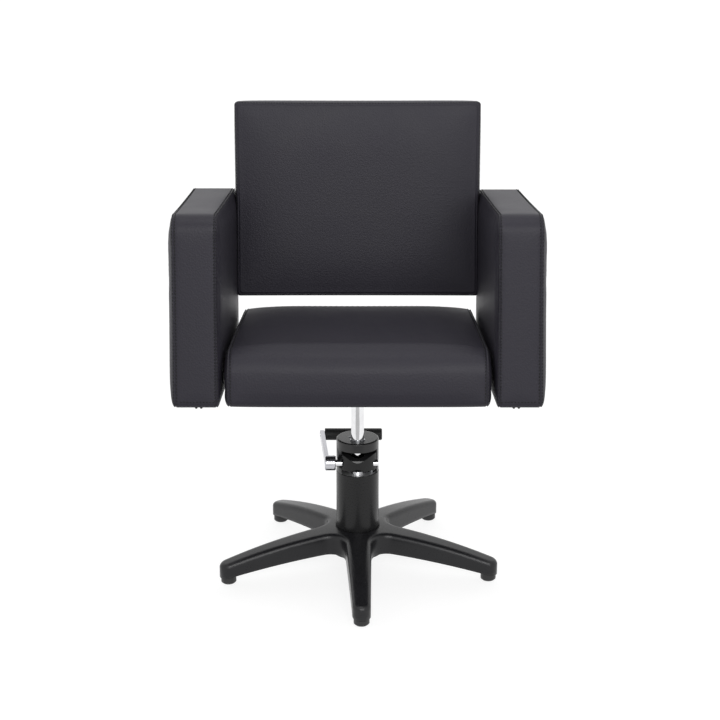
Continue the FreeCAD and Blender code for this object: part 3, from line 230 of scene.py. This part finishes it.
finishes = {
    "vinyl": makeVinyl(),
    "thread": makeThread(),
    "black_casting": makePowderCoat(),
    "plywood": makePlywood(),
    "black_tube": makePaintedSteel("sprayed_satin_enamel", {
        "dark": "#161617", "light": "#1c1c1d", "smooth": 0.24, "rough": 0.32, "shine": 0.3}),
    # the head's enamel is a shade lighter than the tube's, painted light for its brightly lit top, and it
    # is shinier
    "black_head": makePaintedSteel("sprayed_enamel_on_iron_painted_lighter", {
        "dark": "#1a1a1b", "light": "#202021", "smooth": 0.2, "rough": 0.28, "shine": 0.48}),
    "black_roll": makePaintedSteel("sprayed_gloss_enamel", {
        "dark": "#161617", "light": "#1b1b1c", "smooth": 0.12, "rough": 0.18, "shine": 0.3}),
    "black_plate": makePaintedSteel("brushed_on_enamel", {
        "dark": "#1e1e1f", "light": "#262627", "smooth": 0.34, "rough": 0.46, "shine": 0.3}),
    "chrome": makePlated("polished_chrome_plate", {
        "dark": "#dcdcde", "light": "#f0f0f1", "smooth": 0.03, "rough": 0.09, "marksMm": 14}),
    "satin_chrome": makePlated("satin_chrome_plate", {
        "dark": "#bdbdc2", "light": "#cdcdd1", "smooth": 0.16, "rough": 0.26, "marksMm": 12}),
    "zinc_steel": makePlated("bright_zinc_plate", {
        "dark": "#a8abae", "light": "#c3c5c8", "smooth": 0.2, "rough": 0.34, "marksMm": 5}),
    "dark_steel": makePlated("oiled_turned_steel", {
        "dark": "#66676a", "light": "#7f8083", "smooth": 0.26, "rough": 0.4, "marksMm": 8}),
    "pump_aluminium": makeTurned("turned_aluminium", {"dark": "#dcdddf", "light": "#f0f0f1"}),
    "bronze": makeTurned("turned_bronze", {"dark": "#8f6a38", "light": "#b08a50"}),
    "pedal_rubber": makeMoulded("moulded_rubber", {
        "dark": "#1c1c1d", "light": "#272728", "smooth": 0.49, "rough": 0.63, "grainMm": 1.2, "scuffMm": 18,
        "reliefMm": 0.05}),
    "glide_plastic": makeMoulded("moulded_nylon", {
        "dark": "#1a1a1b", "light": "#232324", "smooth": 0.36, "rough": 0.5, "grainMm": 1.5, "scuffMm": 18,
        "reliefMm": 0.03}),
    "spacer_plastic": makeMoulded("turned_acetal", {
        "dark": "#171718", "light": "#202021", "smooth": 0.34, "rough": 0.48, "grainMm": 1.5, "scuffMm": 18,
        "reliefMm": 0.02}),
}
print("finishes made:", len(finishes))


# the arm is brushed before plating; the head's copy of the black enamel is shinier than the tube's and a
# shade lighter, which is painted light that brightens its lit top
ownFinish = {"lever_arm": "satin_chrome", "pump_head": "black_head"}


def dressNodes():
    record = frame["record"]
    slotOf = {row["node"]: row["material_slot"] for row in record["subparts"]}
    for name, node in cadNodes.items():
        slotName = ownFinish.get(name, slotOf.get(name, "black_plate"))
        if slotName not in finishes:      # the cushions, which their covers replace
            continue
        node.data.materials.clear()
        node.data.materials.append(finishes[slotName])


dressNodes()
print("packed nodes dressed")


# rings of a panel's mesh, in degrees round its edges, and those that only the fine mesh adds
ringAngles = {90, 60, 30, 0}
fineAngles = {78, 66, 52, 42, 20, 10}
# a sewn seam sinks the skin beside it too, by this share of its depth, up to this angle or to near metres
# from it, and no more from far metres on
seamFlank = {"share": 0.35, "angle": 6, "near": 0.0008, "far": 0.0028}


def stations(form, fine):
    # rings from one face to the other: thickness position, how far drawn in, share of the seam's depth
    thick = form["thickMm"] / 1000
    seam = form["seamAngle"]
    sides = []
    for deepMm, wideMm in form["edgesMm"]:
        deep = deepMm / 1000
        wide = wideMm / 1000
        angles = ringAngles | {seam}
        if fine:
            angles |= fineAngles
            angles |= {min(90, seam + seamFlank["angle"]), max(0, seam - seamFlank["angle"])}
        side = []
        for a in sorted(angles, reverse=True):
            share = 1.0 if a == seam else 0.0
            if fine and 0 < abs(a - seam) <= seamFlank["angle"]:
                share = seamFlank["share"]
            turn = math.radians(a)
            side.append((deep * (1 - math.sin(turn)), wide * (1 - math.cos(turn)), share))
        if fine and seam == 0:
            side += [(deep + seamFlank["near"], 0.0, seamFlank["share"]),
                     (deep + seamFlank["far"], 0.0, 0.0)]
        sides.append(side)
    first, last = sides
    cell = (form["fineMm"] if fine else form["coarseMm"]) / 1000
    start = first[-1][0]
    end = thick - last[-1][0]
    count = max(2, round((end - start) / cell))
    band = [(start + (end - start) * k / count, 0.0, 0.0) for k in range(1, count)]
    return first + band + [(thick - t, inset, share) for t, inset, share in reversed(last)]


def crossLift(form, t):
    # how much higher the top stands at one thickness position than at the faces
    middle = abs(2 * t / (form["thickMm"] / 1000) - 1)
    return form["liftMm"] / 1000 * (1 - middle ** form["liftPower"])


def outlineRing(form, inset, lift, cells, arcCells):
    # closed outline in the plane of the panel, from the middle of one corner's arc round to it again
    low = [v / 1000 + inset for v in form["lowMm"]]
    high = [v / 1000 - inset for v in form["highMm"]]
    high[1] += lift
    low[1] -= lift * form["sagShare"]
    wide = max(w for _, w in form["edgesMm"]) / 1000
    radii = [r / 1000 + form["cornerGain"] * inset / wide * r / 1000 for r in form["cornersMm"]]
    bows = [b / 1000 for b in form["bowsMm"]]
    middles = [(low[0] + radii[0], low[1] + radii[0]), (high[0] - radii[1], low[1] + radii[1]),
               (high[0] - radii[2], high[1] - radii[2]), (low[0] + radii[3], high[1] - radii[3])]
    points = []
    for k in range(4):
        after = (k + 1) % 4
        facing = math.radians(90 * k - 90)
        out = (math.cos(facing), math.sin(facing))
        for j in range(arcCells):
            turn = facing - math.pi / 4 * (1 - j / arcCells)
            points.append((middles[k][0] + radii[k] * math.cos(turn),
                           middles[k][1] + radii[k] * math.sin(turn)))
        start = (middles[k][0] + radii[k] * out[0], middles[k][1] + radii[k] * out[1])
        end = (middles[after][0] + radii[after] * out[0], middles[after][1] + radii[after] * out[1])
        straight = cells[k % 2] - 2 * arcCells
        for j in range(straight + 1):
            s = j / straight
            bow = bows[k] * 4 * s * (1 - s)
            points.append((start[0] + (end[0] - start[0]) * s + out[0] * bow,
                           start[1] + (end[1] - start[1]) * s + out[1] * bow))
        for j in range(1, arcCells):
            turn = facing + math.pi / 4 * j / arcCells
            points.append((middles[after][0] + radii[after] * math.cos(turn),
                           middles[after][1] + radii[after] * math.sin(turn)))
    return np.array(points)


def capGrid(ring, cells):
    # fill a face from its outer ring: rows from the ring's first side to its third
    na, nb = cells
    bottom = ring[0:na + 1]
    right = ring[na:na + nb + 1]
    top = ring[na + nb:2 * na + nb + 1][::-1]
    left = np.vstack([ring[2 * na + nb:], ring[:1]])[::-1]
    u = (np.linalg.norm(np.diff(bottom, axis=0), axis=1).cumsum())
    u = np.concatenate([[0], u / u[-1]])
    v = (np.linalg.norm(np.diff(right, axis=0), axis=1).cumsum())
    v = np.concatenate([[0], v / v[-1]])
    grid = np.zeros((nb + 1, na + 1, 2))
    for j in range(nb + 1):
        for i in range(na + 1):
            across = (1 - v[j]) * bottom[i] + v[j] * top[i]
            up = (1 - u[i]) * left[j] + u[i] * right[j]
            flat = ((1 - u[i]) * (1 - v[j]) * bottom[0] + u[i] * (1 - v[j]) * bottom[-1]
                    + (1 - u[i]) * v[j] * top[0] + u[i] * v[j] * top[-1])
            grid[j, i] = across + up - flat
    return grid


def faceCrown(form, points, end):
    # how far a face stands proud, from nothing at its rim to its full crown inside
    low = np.array(form["lowMm"]) / 1000
    high = np.array(form["highMm"]) / 1000
    reach = form["crownReachMm"] / 1000
    edge = form["edgesMm"][end][1] / 1000
    rise = np.ones(len(points))
    for axis in (0, 1):
        near = np.minimum(points[:, axis] - low[axis], high[axis] - points[:, axis]) - edge
        share = np.clip(near / reach, 0, 1)
        rise *= 1 - (1 - share) ** 2
    return rise * form["crownsMm"][end] / 1000


def panelMesh(form, fine):
    # closed quad mesh: columns are thickness, and the outline's two directions
    cell = (form["fineMm"] if fine else form["coarseMm"]) / 1000
    arcCells = 4 if fine else 2
    spans = [(form["highMm"][i] - form["lowMm"][i]) / 1000 for i in (0, 1)]
    cells = [max(8, round(s / cell)) for s in spans]
    rows = stations(form, fine)
    coords = []
    for t, inset, _ in rows:
        ring = outlineRing(form, inset, crossLift(form, t), cells, arcCells)
        coords.append(np.column_stack([np.full(len(ring), t), ring]))
    size = len(coords[0])
    faces = []
    for r in range(len(rows) - 1):
        for k in range(size):
            n = (k + 1) % size
            faces.append((r * size + k, r * size + n, (r + 1) * size + n, (r + 1) * size + k))
    verts = [tuple(p) for ring in coords for p in ring]
    na, nb = cells
    for end, rowIndex in ((0, 0), (1, len(rows) - 1)):
        grid = capGrid(coords[rowIndex][:, 1:], cells)
        flat = grid.reshape(-1, 2)
        crown = faceCrown(form, flat, end).reshape(nb + 1, na + 1)
        face = coords[rowIndex][0][0]
        index = np.zeros((nb + 1, na + 1), int)
        for j in range(nb + 1):
            for i in range(na + 1):
                if j == 0:
                    index[j, i] = rowIndex * size + i
                elif i == na:
                    index[j, i] = rowIndex * size + na + j
                elif j == nb:
                    index[j, i] = rowIndex * size + 2 * na + nb - i
                elif i == 0:
                    index[j, i] = rowIndex * size + (2 * na + 2 * nb - j) % size
                else:
                    index[j, i] = len(verts)
                    t = face - crown[j, i] if end == 0 else face + crown[j, i]
                    verts.append((t, grid[j, i, 0], grid[j, i, 1]))
        for j in range(nb):
            for i in range(na):
                quad = (index[j, i], index[j, i + 1], index[j + 1, i + 1], index[j + 1, i])
                faces.append(tuple(int(q) for q in (quad[::-1] if end == 0 else quad)))
    return np.array(verts), faces, rows, size, cells


def newObject(name, verts, faces, material, smooth=True):
    mesh = bpy.data.meshes.new(name)
    mesh.from_pydata([tuple(v) for v in verts], [], faces)
    mesh.validate()
    mesh.update()
    if smooth:
        mesh.polygons.foreach_set("use_smooth", [True] * len(mesh.polygons))
    mesh.materials.append(material)
    obj = bpy.data.objects.new(name, mesh)
    scene.collection.objects.link(obj)
    return obj


clothForm = {"quality": 4, "massKg": 0.4, "bending": 0.6, "frames": 20}


def swell(form, verts, faces, pinned):
    # foam pushes the cover out between its seams; returns how far each point moves
    obj = newObject("swelling", verts, faces, finishes["vinyl"])
    group = obj.vertex_groups.new(name="held")
    group.add([int(i) for i in pinned], 1.0, "REPLACE")
    cloth = obj.modifiers.new("cover", "CLOTH")
    settings = cloth.settings
    settings.quality = clothForm["quality"]
    settings.mass = clothForm["massKg"]
    settings.tension_stiffness = form["stretchStiffness"]
    settings.compression_stiffness = form["stretchStiffness"]
    settings.bending_stiffness = clothForm["bending"]
    settings.use_pressure = True
    settings.uniform_pressure_force = form["pressure"]
    settings.effector_weights.gravity = 0
    settings.vertex_group_mass = "held"
    cloth.collision_settings.use_collision = False
    cloth.point_cache.frame_start = 1
    cloth.point_cache.frame_end = clothForm["frames"]
    for step in range(1, clothForm["frames"] + 1):
        scene.frame_set(step)
    shape = obj.evaluated_get(bpy.context.evaluated_depsgraph_get()).to_mesh()
    moved = np.zeros(len(shape.vertices) * 3)
    shape.vertices.foreach_get("co", moved)
    move = moved.reshape(-1, 3) - verts
    scene.frame_set(1)
    mesh = obj.data
    bpy.data.objects.remove(obj)
    bpy.data.meshes.remove(mesh)
    far = np.linalg.norm(move, axis=1)
    cap = form["swellCapMm"] / 1000
    held = cap * np.tanh(far / cap)
    return move * (held / np.maximum(far, 1e-9))[:, None]


def spreadMove(fromVerts, move, toVerts):
    # carry the movement of a coarse mesh over to a finer one, from each point's nearest neighbours
    neighbours = 6
    softening = 0.002
    tree = KDTree(len(fromVerts))
    for i, v in enumerate(fromVerts):
        tree.insert(Vector(v), i)
    tree.balance()
    out = np.zeros_like(toVerts)
    for i, v in enumerate(toVerts):
        near = tree.find_n(Vector(v), neighbours)
        weights = [1 / (d + softening) ** 2 for _, _, d in near]
        total = sum(weights)
        for (_, index, _), w in zip(near, weights):
            out[i] += move[index] * (w / total)
    return out


def settled(form, verts):
    # arms stand slightly open to the rear and to the floor, and their outer seam runs out to the
    # rear top corner
    if "settle" not in form:
        return verts
    settle = form["settle"]
    verts = np.array(verts)
    length = (form["highMm"][0] - form["lowMm"][0]) / 1000
    height = (form["highMm"][1] - form["lowMm"][1]) / 1000
    back = np.clip((verts[:, 1] - form["lowMm"][0] / 1000) / length, 0, 1)
    down = np.clip((form["highMm"][1] / 1000 - verts[:, 2]) / height, 0, 1)
    thick = form["thickMm"] / 1000
    deep = form["edgesMm"][1][0] / 1000
    keep = 1 - settle["seamOut"] * back * (1 - down)
    t = verts[:, 0]
    seamAt = thick - deep
    newSeam = thick - deep * keep
    t = np.where(t < seamAt, t * newSeam / seamAt, newSeam + (t - seamAt) * keep)
    inner = settle["innerToeMm"] / 1000 * back + settle["leanMm"] / 1000 * down * (1 - back)
    outer = settle["outerToeMm"] / 1000 * back + settle["leanMm"] / 1000 * down
    share = t / thick
    verts[:, 0] = t + inner * (1 - share) + outer * share
    verts[:, 2] += settle["rearRiseMm"] / 1000 * back * (1 - down)
    return verts


def vertexNormals(verts, faces):
    quads = np.array(faces)
    a, b, c, d = (verts[quads[:, k]] for k in range(4))
    normal = np.cross(c - a, d - b)
    out = np.zeros_like(verts)
    for k in range(4):
        np.add.at(out, quads[:, k], normal)
    return out / np.maximum(np.linalg.norm(out, axis=1), 1e-12)[:, None]


def upholstered(name, form):
    coarse, coarseFaces, rows, size, cells = panelMesh(form, False)
    verts, faces, fineRows, fineSize, _ = panelMesh(form, True)
    pinned = []
    for r, (_, _, share) in enumerate(rows):
        ring = range(r * size, (r + 1) * size)
        if share == 1:
            pinned += list(ring)
        else:
            pinned += [r * size + k for k in range(cells[0] + 1)]     # stapled along the bottom
    move = swell(form, coarse, coarseFaces, pinned)
    verts = verts + spreadMove(coarse, move, verts)
    normals = vertexNormals(verts, faces)
    for r, (_, _, share) in enumerate(fineRows):
        ring = slice(r * fineSize, (r + 1) * fineSize)
        verts[ring] -= normals[ring] * share * form["seamMm"] / 1000
    placed = np.array([form["matrix"] @ Vector(v) for v in settled(form, verts)])
    if form["flip"]:
        faces = [f[::-1] for f in faces]
    obj = newObject(name, placed, faces, finishes["vinyl"])
    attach(obj, "seat")
    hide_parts(*form["stands"])
    print("upholstered:", name, len(verts), "points")
    return obj


def placeAlongX(startMm, mirrored=False):
    # panel axes (thickness, along, up) to the chair's X, Y, Z
    across = Matrix.Scale(-1 if mirrored else 1, 4, (1, 0, 0))
    return seatMatrix @ across @ Matrix.Translation((startMm / 1000, 0, 0))


def placeAcross(startMm):
    # panel axes (thickness, along, up) to the chair's Y, X, Z
    swap = Matrix(((0, 1, 0, 0), (1, 0, 0, 0), (0, 0, 1, 0), (0, 0, 0, 1)))
    return seatMatrix @ Matrix.Translation((0, startMm / 1000, 0)) @ swap


# A panel's axes are thickness, along and up.
# lowMm, highMm: ends of its outline, along and up. thickMm: from its first face to its last.
# cornersMm: radii of the corners low-low, high-low, high-high and low-high.
# bowsMm: how far the sides between them stand out in their middle, from the bottom round.
# edgesMm: depth and width of the rounding at each face. seamAngle: degrees round it to the seam.
# cornerGain: how much larger the radii are at the faces, as a share.
# crownsMm, crownReachMm: how far each face stands proud, and how far in from its rim that is reached.
# liftMm, liftPower, sagShare: how much higher the top is across the middle, how suddenly it rises
# from the faces, and the share of it by which the bottom is lower.
# seamMm: how deep the seam sinks. swellCapMm: the most that the foam moves a point.
everyPanel = {"fineMm": 5.5, "pressure": 3, "stretchStiffness": 15, "fill": 0.9,
              "liftMm": 0, "liftPower": 2, "sagShare": 0}
armPanel = {
    **everyPanel, "thickMm": 87.7, "lowMm": (-300, -18.8), "highMm": (242, 323.6),
    "cornersMm": (10, 9, 9, 30), "bowsMm": (-0.5, -1, -1, -1), "edgesMm": ((5, 10), (10, 24)),
    "seamAngle": 0, "cornerGain": 0.5, "crownsMm": (0.5, 1), "crownReachMm": 90,
    "coarseMm": 10, "seamMm": 2.0, "swellCapMm": 2.5,
}
seatPanel = {
    **everyPanel, "thickMm": 475.5, "lowMm": (-296, -18.5), "highMm": (200, 80),
    "cornersMm": (13, 8, 15.6, 42), "bowsMm": (0, 0, 3, 0), "edgesMm": ((9, 17), (9, 17)),
    "seamAngle": 0, "cornerGain": 0.2, "crownsMm": (0.5, 0.5), "crownReachMm": 30,
    "liftMm": 8.5, "liftPower": 7, "sagShare": 0.15,
    "coarseMm": 11, "seamMm": 2.0, "swellCapMm": 2.5,
}
backPanel = {
    **everyPanel, "thickMm": 58, "lowMm": (-247.5, 110), "highMm": (247.5, 503.6),
    "cornersMm": (7, 7, 7, 7), "bowsMm": (-0.5, -1, -1, -1), "edgesMm": ((12, 8), (12, 8)),
    "seamAngle": 72, "cornerGain": 0, "crownsMm": (4, 4), "crownReachMm": 95,
    "coarseMm": 10, "seamMm": 1.6, "swellCapMm": 3,
}
# settle: how far an arm's inner and outer face stand out at the rear, how far both do at the bottom,
# how far the outer seam runs out to the rear top corner, as a share, and how much higher that corner is
cushions = {
    "seat_cover": {**seatPanel, "matrix": placeAlongX(-237), "flip": False, "stands": ["seat_cushion"]},
    "arm_cover_left": {**armPanel, "matrix": placeAlongX(242.3), "flip": False,
                       "stands": ["arm_cushion_left"],
                       "settle": {"innerToeMm": 5.7, "outerToeMm": 2.5, "leanMm": 4, "seamOut": 0.7,
                                  "rearRiseMm": 0}},
    "arm_cover_right": {**armPanel, "matrix": placeAlongX(242.3, True), "flip": True,
                        "stands": ["arm_cushion_right"],
                        "settle": {"innerToeMm": 7, "outerToeMm": 7, "leanMm": 2.5, "seamOut": 0.9,
                                   "rearRiseMm": 2.4}},
    "back_cover": {**backPanel, "matrix": placeAcross(176), "flip": True, "stands": ["back_cushion"]},
}
covers = {name: upholstered(name, form) for name, form in cushions.items()}


# one stitch from end to end: where on its length, its share of the thickness and of the sinking in
stitchProfile = ((-0.5, 0.45, 1.0), (-0.25, 1.0, 0.4), (0, 1.0, 0.4), (0.25, 1.0, 0.4), (0.5, 0.45, 1.0))


def stitchRow(name, cover, path, look):
    # short threads sunk by half into the cover, along an open path of points
    tree = BVHTree.FromObject(cover, bpy.context.evaluated_depsgraph_get())
    path = np.array(path)
    steps = np.linalg.norm(np.diff(path, axis=0), axis=1)
    run = np.concatenate([[0], steps.cumsum()])
    pitch = look["pitchMm"] / 1000
    sides = look["sides"]
    last = len(stitchProfile) - 1
    verts, faces = [], []
    for s in range(int(run[-1] / pitch)):
        rings = []
        for end, thickShare, sinkShare in stitchProfile:
            at = (s + 0.5) * pitch + end * look["longMm"] / 1000
            guess = Vector([np.interp(at, run, path[:, axis]) for axis in range(3)])
            place, normal, _, _ = tree.find_nearest(guess)
            sink = look["sinkMm"] / 1000 * sinkShare
            rings.append((place - normal * sink, normal, look["thickMm"] / 2000 * thickShare))
        along = (rings[-1][0] - rings[0][0]).normalized()
        base = len(verts)
        for centre, normal, radius in rings:
            out = (normal - along * normal.dot(along)).normalized()
            sideways = along.cross(out)
            for m in range(sides):
                turn = 2 * math.pi * m / sides
                verts.append(centre + (out * math.sin(turn) + sideways * math.cos(turn)) * radius)
        for k in range(last):
            for m in range(sides):
                n = (m + 1) % sides
                faces.append((base + k * sides + m, base + k * sides + n,
                              base + (k + 1) * sides + n, base + (k + 1) * sides + m))
        faces.append(tuple(base + m for m in reversed(range(sides))))
        faces.append(tuple(base + last * sides + m for m in range(sides)))
    obj = newObject(name, verts, faces, finishes["thread"])
    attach(obj, "seat")


def panelPath(form, thicknessMm):
    # path up, over and down the boxing of a panel at one distance from its first face
    cells = [60, 60]
    arcCells = 4
    t = thicknessMm / 1000
    ring = outlineRing(form, 0, crossLift(form, t), cells, arcCells)[cells[0]:]
    points = settled(form, np.column_stack([np.full(len(ring), t), ring]))
    return [form["matrix"] @ Vector(p) for p in points]


# the real thread is under 1 mm thick, drawn thicker so that it shows at this distance
stitching = {"pitchMm": 5.8, "longMm": 3.6, "thickMm": 2.2, "sinkMm": 0.2, "sides": 6}
# how far each row runs from the panel's first face
armRowsMm = (1.9, 7.2, armPanel["thickMm"] - 12.5, armPanel["thickMm"] - 5.6)
seatRowsMm = (6.0, 12.2, seatPanel["thickMm"] - 12.2, seatPanel["thickMm"] - 6.0)
backRowsMm = (3.5, backPanel["thickMm"] - 3.5)
armHemMm = {"height": -7.4, "front": -300, "from": 7, "to": 75, "step": 2}
for side in ("left", "right"):
    coverName = "arm_cover_" + side
    for number, rowMm in enumerate(armRowsMm):
        stitchRow("arm_stitching_%s_%d" % (side, number + 1), covers[coverName],
                  panelPath(cushions[coverName], rowMm), stitching)
    hem = settled(cushions[coverName],
                  [[t / 1000, armHemMm["front"] / 1000, armHemMm["height"] / 1000]
                   for t in range(armHemMm["from"], armHemMm["to"], armHemMm["step"])])
    stitchRow("arm_hem_%s" % side, covers[coverName],
              [cushions[coverName]["matrix"] @ Vector(p) for p in hem], stitching)
for number, rowMm in enumerate(seatRowsMm):
    stitchRow("seat_stitching_%d" % (number + 1), covers["seat_cover"],
              panelPath(cushions["seat_cover"], rowMm), stitching)
for number, rowMm in enumerate(backRowsMm):
    stitchRow("back_stitching_%d" % (number + 1), covers["back_cover"],
              panelPath(cushions["back_cover"], rowMm), stitching)
print("stitching sewn")


def makeSpring():
    # compression spring of drawn wire round the plunger, its end turns closed
    form = {"wireMm": 1.6, "openTurns": 3, "closedTurns": 0.75, "sides": 8, "perTurn": 24,
            "strokeMm": 4.7}
    low, high = (Vector(corner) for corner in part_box("plunger_spring"))
    middle = (low + high) / 2
    wire = form["wireMm"] / 1000
    radius = (high.x - low.x - wire) / 2
    closed = form["closedTurns"]
    turns = form["openTurns"] + 2 * closed
    knots = [0, closed, turns - closed, turns]
    heights = [low.z + wire / 2, low.z + wire / 2 + wire * closed,
               high.z - wire / 2 - wire * closed, high.z - wire / 2]
    count = round(turns * form["perTurn"])
    verts, faces = [], []
    sides = form["sides"]
    for k in range(count + 1):
        turn = turns * k / count
        angle = 2 * math.pi * turn
        out = Vector((math.cos(angle), math.sin(angle), 0))
        centre = Vector((middle.x, middle.y, 0)) + out * radius
        centre.z = float(np.interp(turn, knots, heights))
        for m in range(sides):
            around = 2 * math.pi * m / sides
            verts.append(centre + (out * math.cos(around)
                                   + Vector((0, 0, math.sin(around)))) * wire / 2)
    for k in range(count):
        for m in range(sides):
            n = (m + 1) % sides
            faces.append((k * sides + m, (k + 1) * sides + m, (k + 1) * sides + n, k * sides + n))
    faces.append(tuple(range(sides)))
    faces.append(tuple(count * sides + m for m in reversed(range(sides))))
    spring = newObject("plunger_coil", verts, faces, finishes["zinc_steel"])
    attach(spring, "root")
    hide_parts("plunger_spring")
    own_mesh(spring)


def makeTack(name, cover, guess):
    # domed nail that holds the end of an arm's bottom seam
    form = {"wideMm": 5, "proudMm": 2.2, "sides": 20}
    # shares of the radius and of the height, from under the skin up to the dome
    profile = [(1.0, -0.3), (1.0, 0.0), (0.92, 0.4), (0.7, 0.75), (0.4, 0.94)]
    tree = BVHTree.FromObject(cover, bpy.context.evaluated_depsgraph_get())
    place, normal, _, _ = tree.find_nearest(Vector(guess))
    if normal.z > 0:
        normal = -normal
    across = normal.orthogonal().normalized()
    along = normal.cross(across)
    radius = form["wideMm"] / 2000
    proud = form["proudMm"] / 1000
    sides = form["sides"]
    verts = []
    for out, up in profile:
        for m in range(sides):
            turn = 2 * math.pi * m / sides
            verts.append(place + (across * math.cos(turn) + along * math.sin(turn)) * out * radius
                         + normal * up * proud)
    verts.append(place + normal * proud)
    faces = [tuple(reversed(range(sides)))]
    for k in range(len(profile) - 1):
        for m in range(sides):
            n = (m + 1) % sides
            faces.append((k * sides + m, k * sides + n, (k + 1) * sides + n, (k + 1) * sides + m))
    last = (len(profile) - 1) * sides
    faces += [(last + m, last + (m + 1) % sides, len(verts) - 1) for m in range(sides)]
    tack = newObject(name, verts, faces, finishes["black_plate"])
    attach(tack, "seat")


makeSpring()
tacksMm = {"out": (277.3, 286.2), "front": -292.5, "height": -21}
for side, sign in (("left", 1), ("right", -1)):
    for number, outMm in enumerate(tacksMm["out"]):
        guess = Vector((sign * outMm, tacksMm["front"], tacksMm["height"])) / 1000
        makeTack("arm_tack_%s_%d" % (side, number + 1), covers["arm_cover_" + side],
                 seatMatrix @ guess)
print("tacks driven")


def seenDirectly(tree):
    # 1 for rays from the camera, off gloss and through glass, 0 for those that only light the chair
    rays = addNode(tree, "ShaderNodeLightPath")
    seen = rays.outputs["Is Camera Ray"]
    for kind in ("Is Glossy Ray", "Is Transmission Ray"):
        seen = addNode(tree, "ShaderNodeMath", {"operation": "MAXIMUM"},
                       {0: seen, 1: rays.outputs[kind]}).outputs[0]
    return seen


def lightWorld():
    # even sides, dimmer front and zenith, a bright band high behind and a dim one low behind
    # (each row: axis of the direction, where on it the change starts and ends, level before and after)
    sky = {"front": ("Y", -0.8, 0.0, 0.22, 0.90), "height": ("Z", 0.10, 0.34, 0.08, 2.2),
           "behind": ("Y", 0.35, 0.8, 0.0, 1.0), "above": ("Z", 0.55, 0.95, 1.0, 0.45)}
    world = bpy.data.worlds.new("studio")
    scene.world = world
    world.use_nodes = True
    tree = world.node_tree
    background = tree.nodes["Background"]
    background.inputs["Color"].default_value = (1, 1, 1, 1)
    direction = addNode(tree, "ShaderNodeTexCoord").outputs["Generated"]
    parts = addNode(tree, "ShaderNodeSeparateXYZ", links={"Vector": direction})
    levels = {}
    for name, (axis, start, end, before, after) in sky.items():
        levels[name] = addNode(tree, "ShaderNodeMapRange",
                               {"From Min": start, "From Max": end, "To Min": before, "To Max": after},
                               {"Value": parts.outputs[axis]}).outputs["Result"]
    rear = addNode(tree, "ShaderNodeMix", {"data_type": "FLOAT", 2: 1.0},
                   {"Factor": levels["behind"], 3: levels["height"]}).outputs[0]
    level = levels["front"]
    for factor in (rear, levels["above"]):
        level = addNode(tree, "ShaderNodeMath", {"operation": "MULTIPLY"},
                        {0: level, 1: factor}).outputs[0]
    addNode(tree, "ShaderNodeMix", {"data_type": "FLOAT", 3: 1.0},
            {"Factor": seenDirectly(tree), 2: level}, {0: background.inputs["Strength"]})


def flatCorners(low, high, height):
    return [(low[0], low[1], height), (high[0], low[1], height),
            (high[0], high[1], height), (low[0], high[1], height)]


def layFloor():
    # matt board: mid grey to the light, white to the eye and in metal, with the chair's shadow on it
    board = {"light": "#8a8a8a", "rough": 0.9, "glow": 0.82, "half": 30.0}
    material, tree, shader, _ = newFinish("matt_white_floor", board)
    shader.inputs["Emission Color"].default_value = (1, 1, 1, 1)
    addNode(tree, "ShaderNodeMath", {"operation": "MULTIPLY", 1: board["glow"]},
            {0: seenDirectly(tree)}, {0: shader.inputs["Emission Strength"]})
    half = board["half"]
    floor = newObject("studio_floor", flatCorners((-half, -half), (half, half), 0),
                      [(0, 1, 2, 3)], material, smooth=False)


def layCard():
    # grey card on the floor before the chair, seen only in gloss: it darkens the middle of the ram
    card = {"light": "#c6c6c6", "rough": 0.9, "low": (-0.5, -1.9), "high": (0.5, -0.68), "height": 0.002}
    material = newFinish("matt_grey_card", card)[0]
    flag = newObject("grey_card", flatCorners(card["low"], card["high"], card["height"]),
                     [(0, 1, 2, 3)], material, smooth=False)
    flag.visible_camera = False
    flag.visible_diffuse = False
    flag.visible_shadow = False


lamps = {
    "overhead_softbox": {"place": (0.0, -0.6, 3.2), "wide": 1.6, "tall": 1.0, "watts": 14},
    "front_softbox": {"place": (0.4, -3.7, 2.1), "wide": 2.6, "tall": 1.6, "watts": 74},
}
aimHeight = 0.5


def hangLamp(name, form):
    lamp = bpy.data.lights.new(name, "AREA")
    lamp.shape = "RECTANGLE"
    lamp.size = form["wide"]
    lamp.size_y = form["tall"]
    lamp.energy = form["watts"]
    obj = bpy.data.objects.new(name, lamp)
    scene.collection.objects.link(obj)
    obj.location = form["place"]
    aim = Vector((0, 0, aimHeight)) - Vector(form["place"])
    obj.rotation_euler = aim.to_track_quat("-Z", "Y").to_euler()


lightWorld()
layFloor()
layCard()
for lampName, lampForm in lamps.items():
    hangLamp(lampName, lampForm)

view = {"lensMm": 80.42, "place": (0, -2.9831, 1.3929), "tilt": 72.14, "shiftX": 0.0034,
        "sensorMm": 36}
camera = bpy.data.objects.new("camera", bpy.data.cameras.new("camera"))
scene.collection.objects.link(camera)
camera.data.sensor_width = view["sensorMm"]
camera.data.lens = view["lensMm"]
camera.data.shift_x = view["shiftX"]
camera.location = view["place"]
camera.rotation_euler = (math.radians(view["tilt"]), 0, 0)
scene.camera = camera
scene.view_settings.view_transform = "Standard"
print("studio ready")
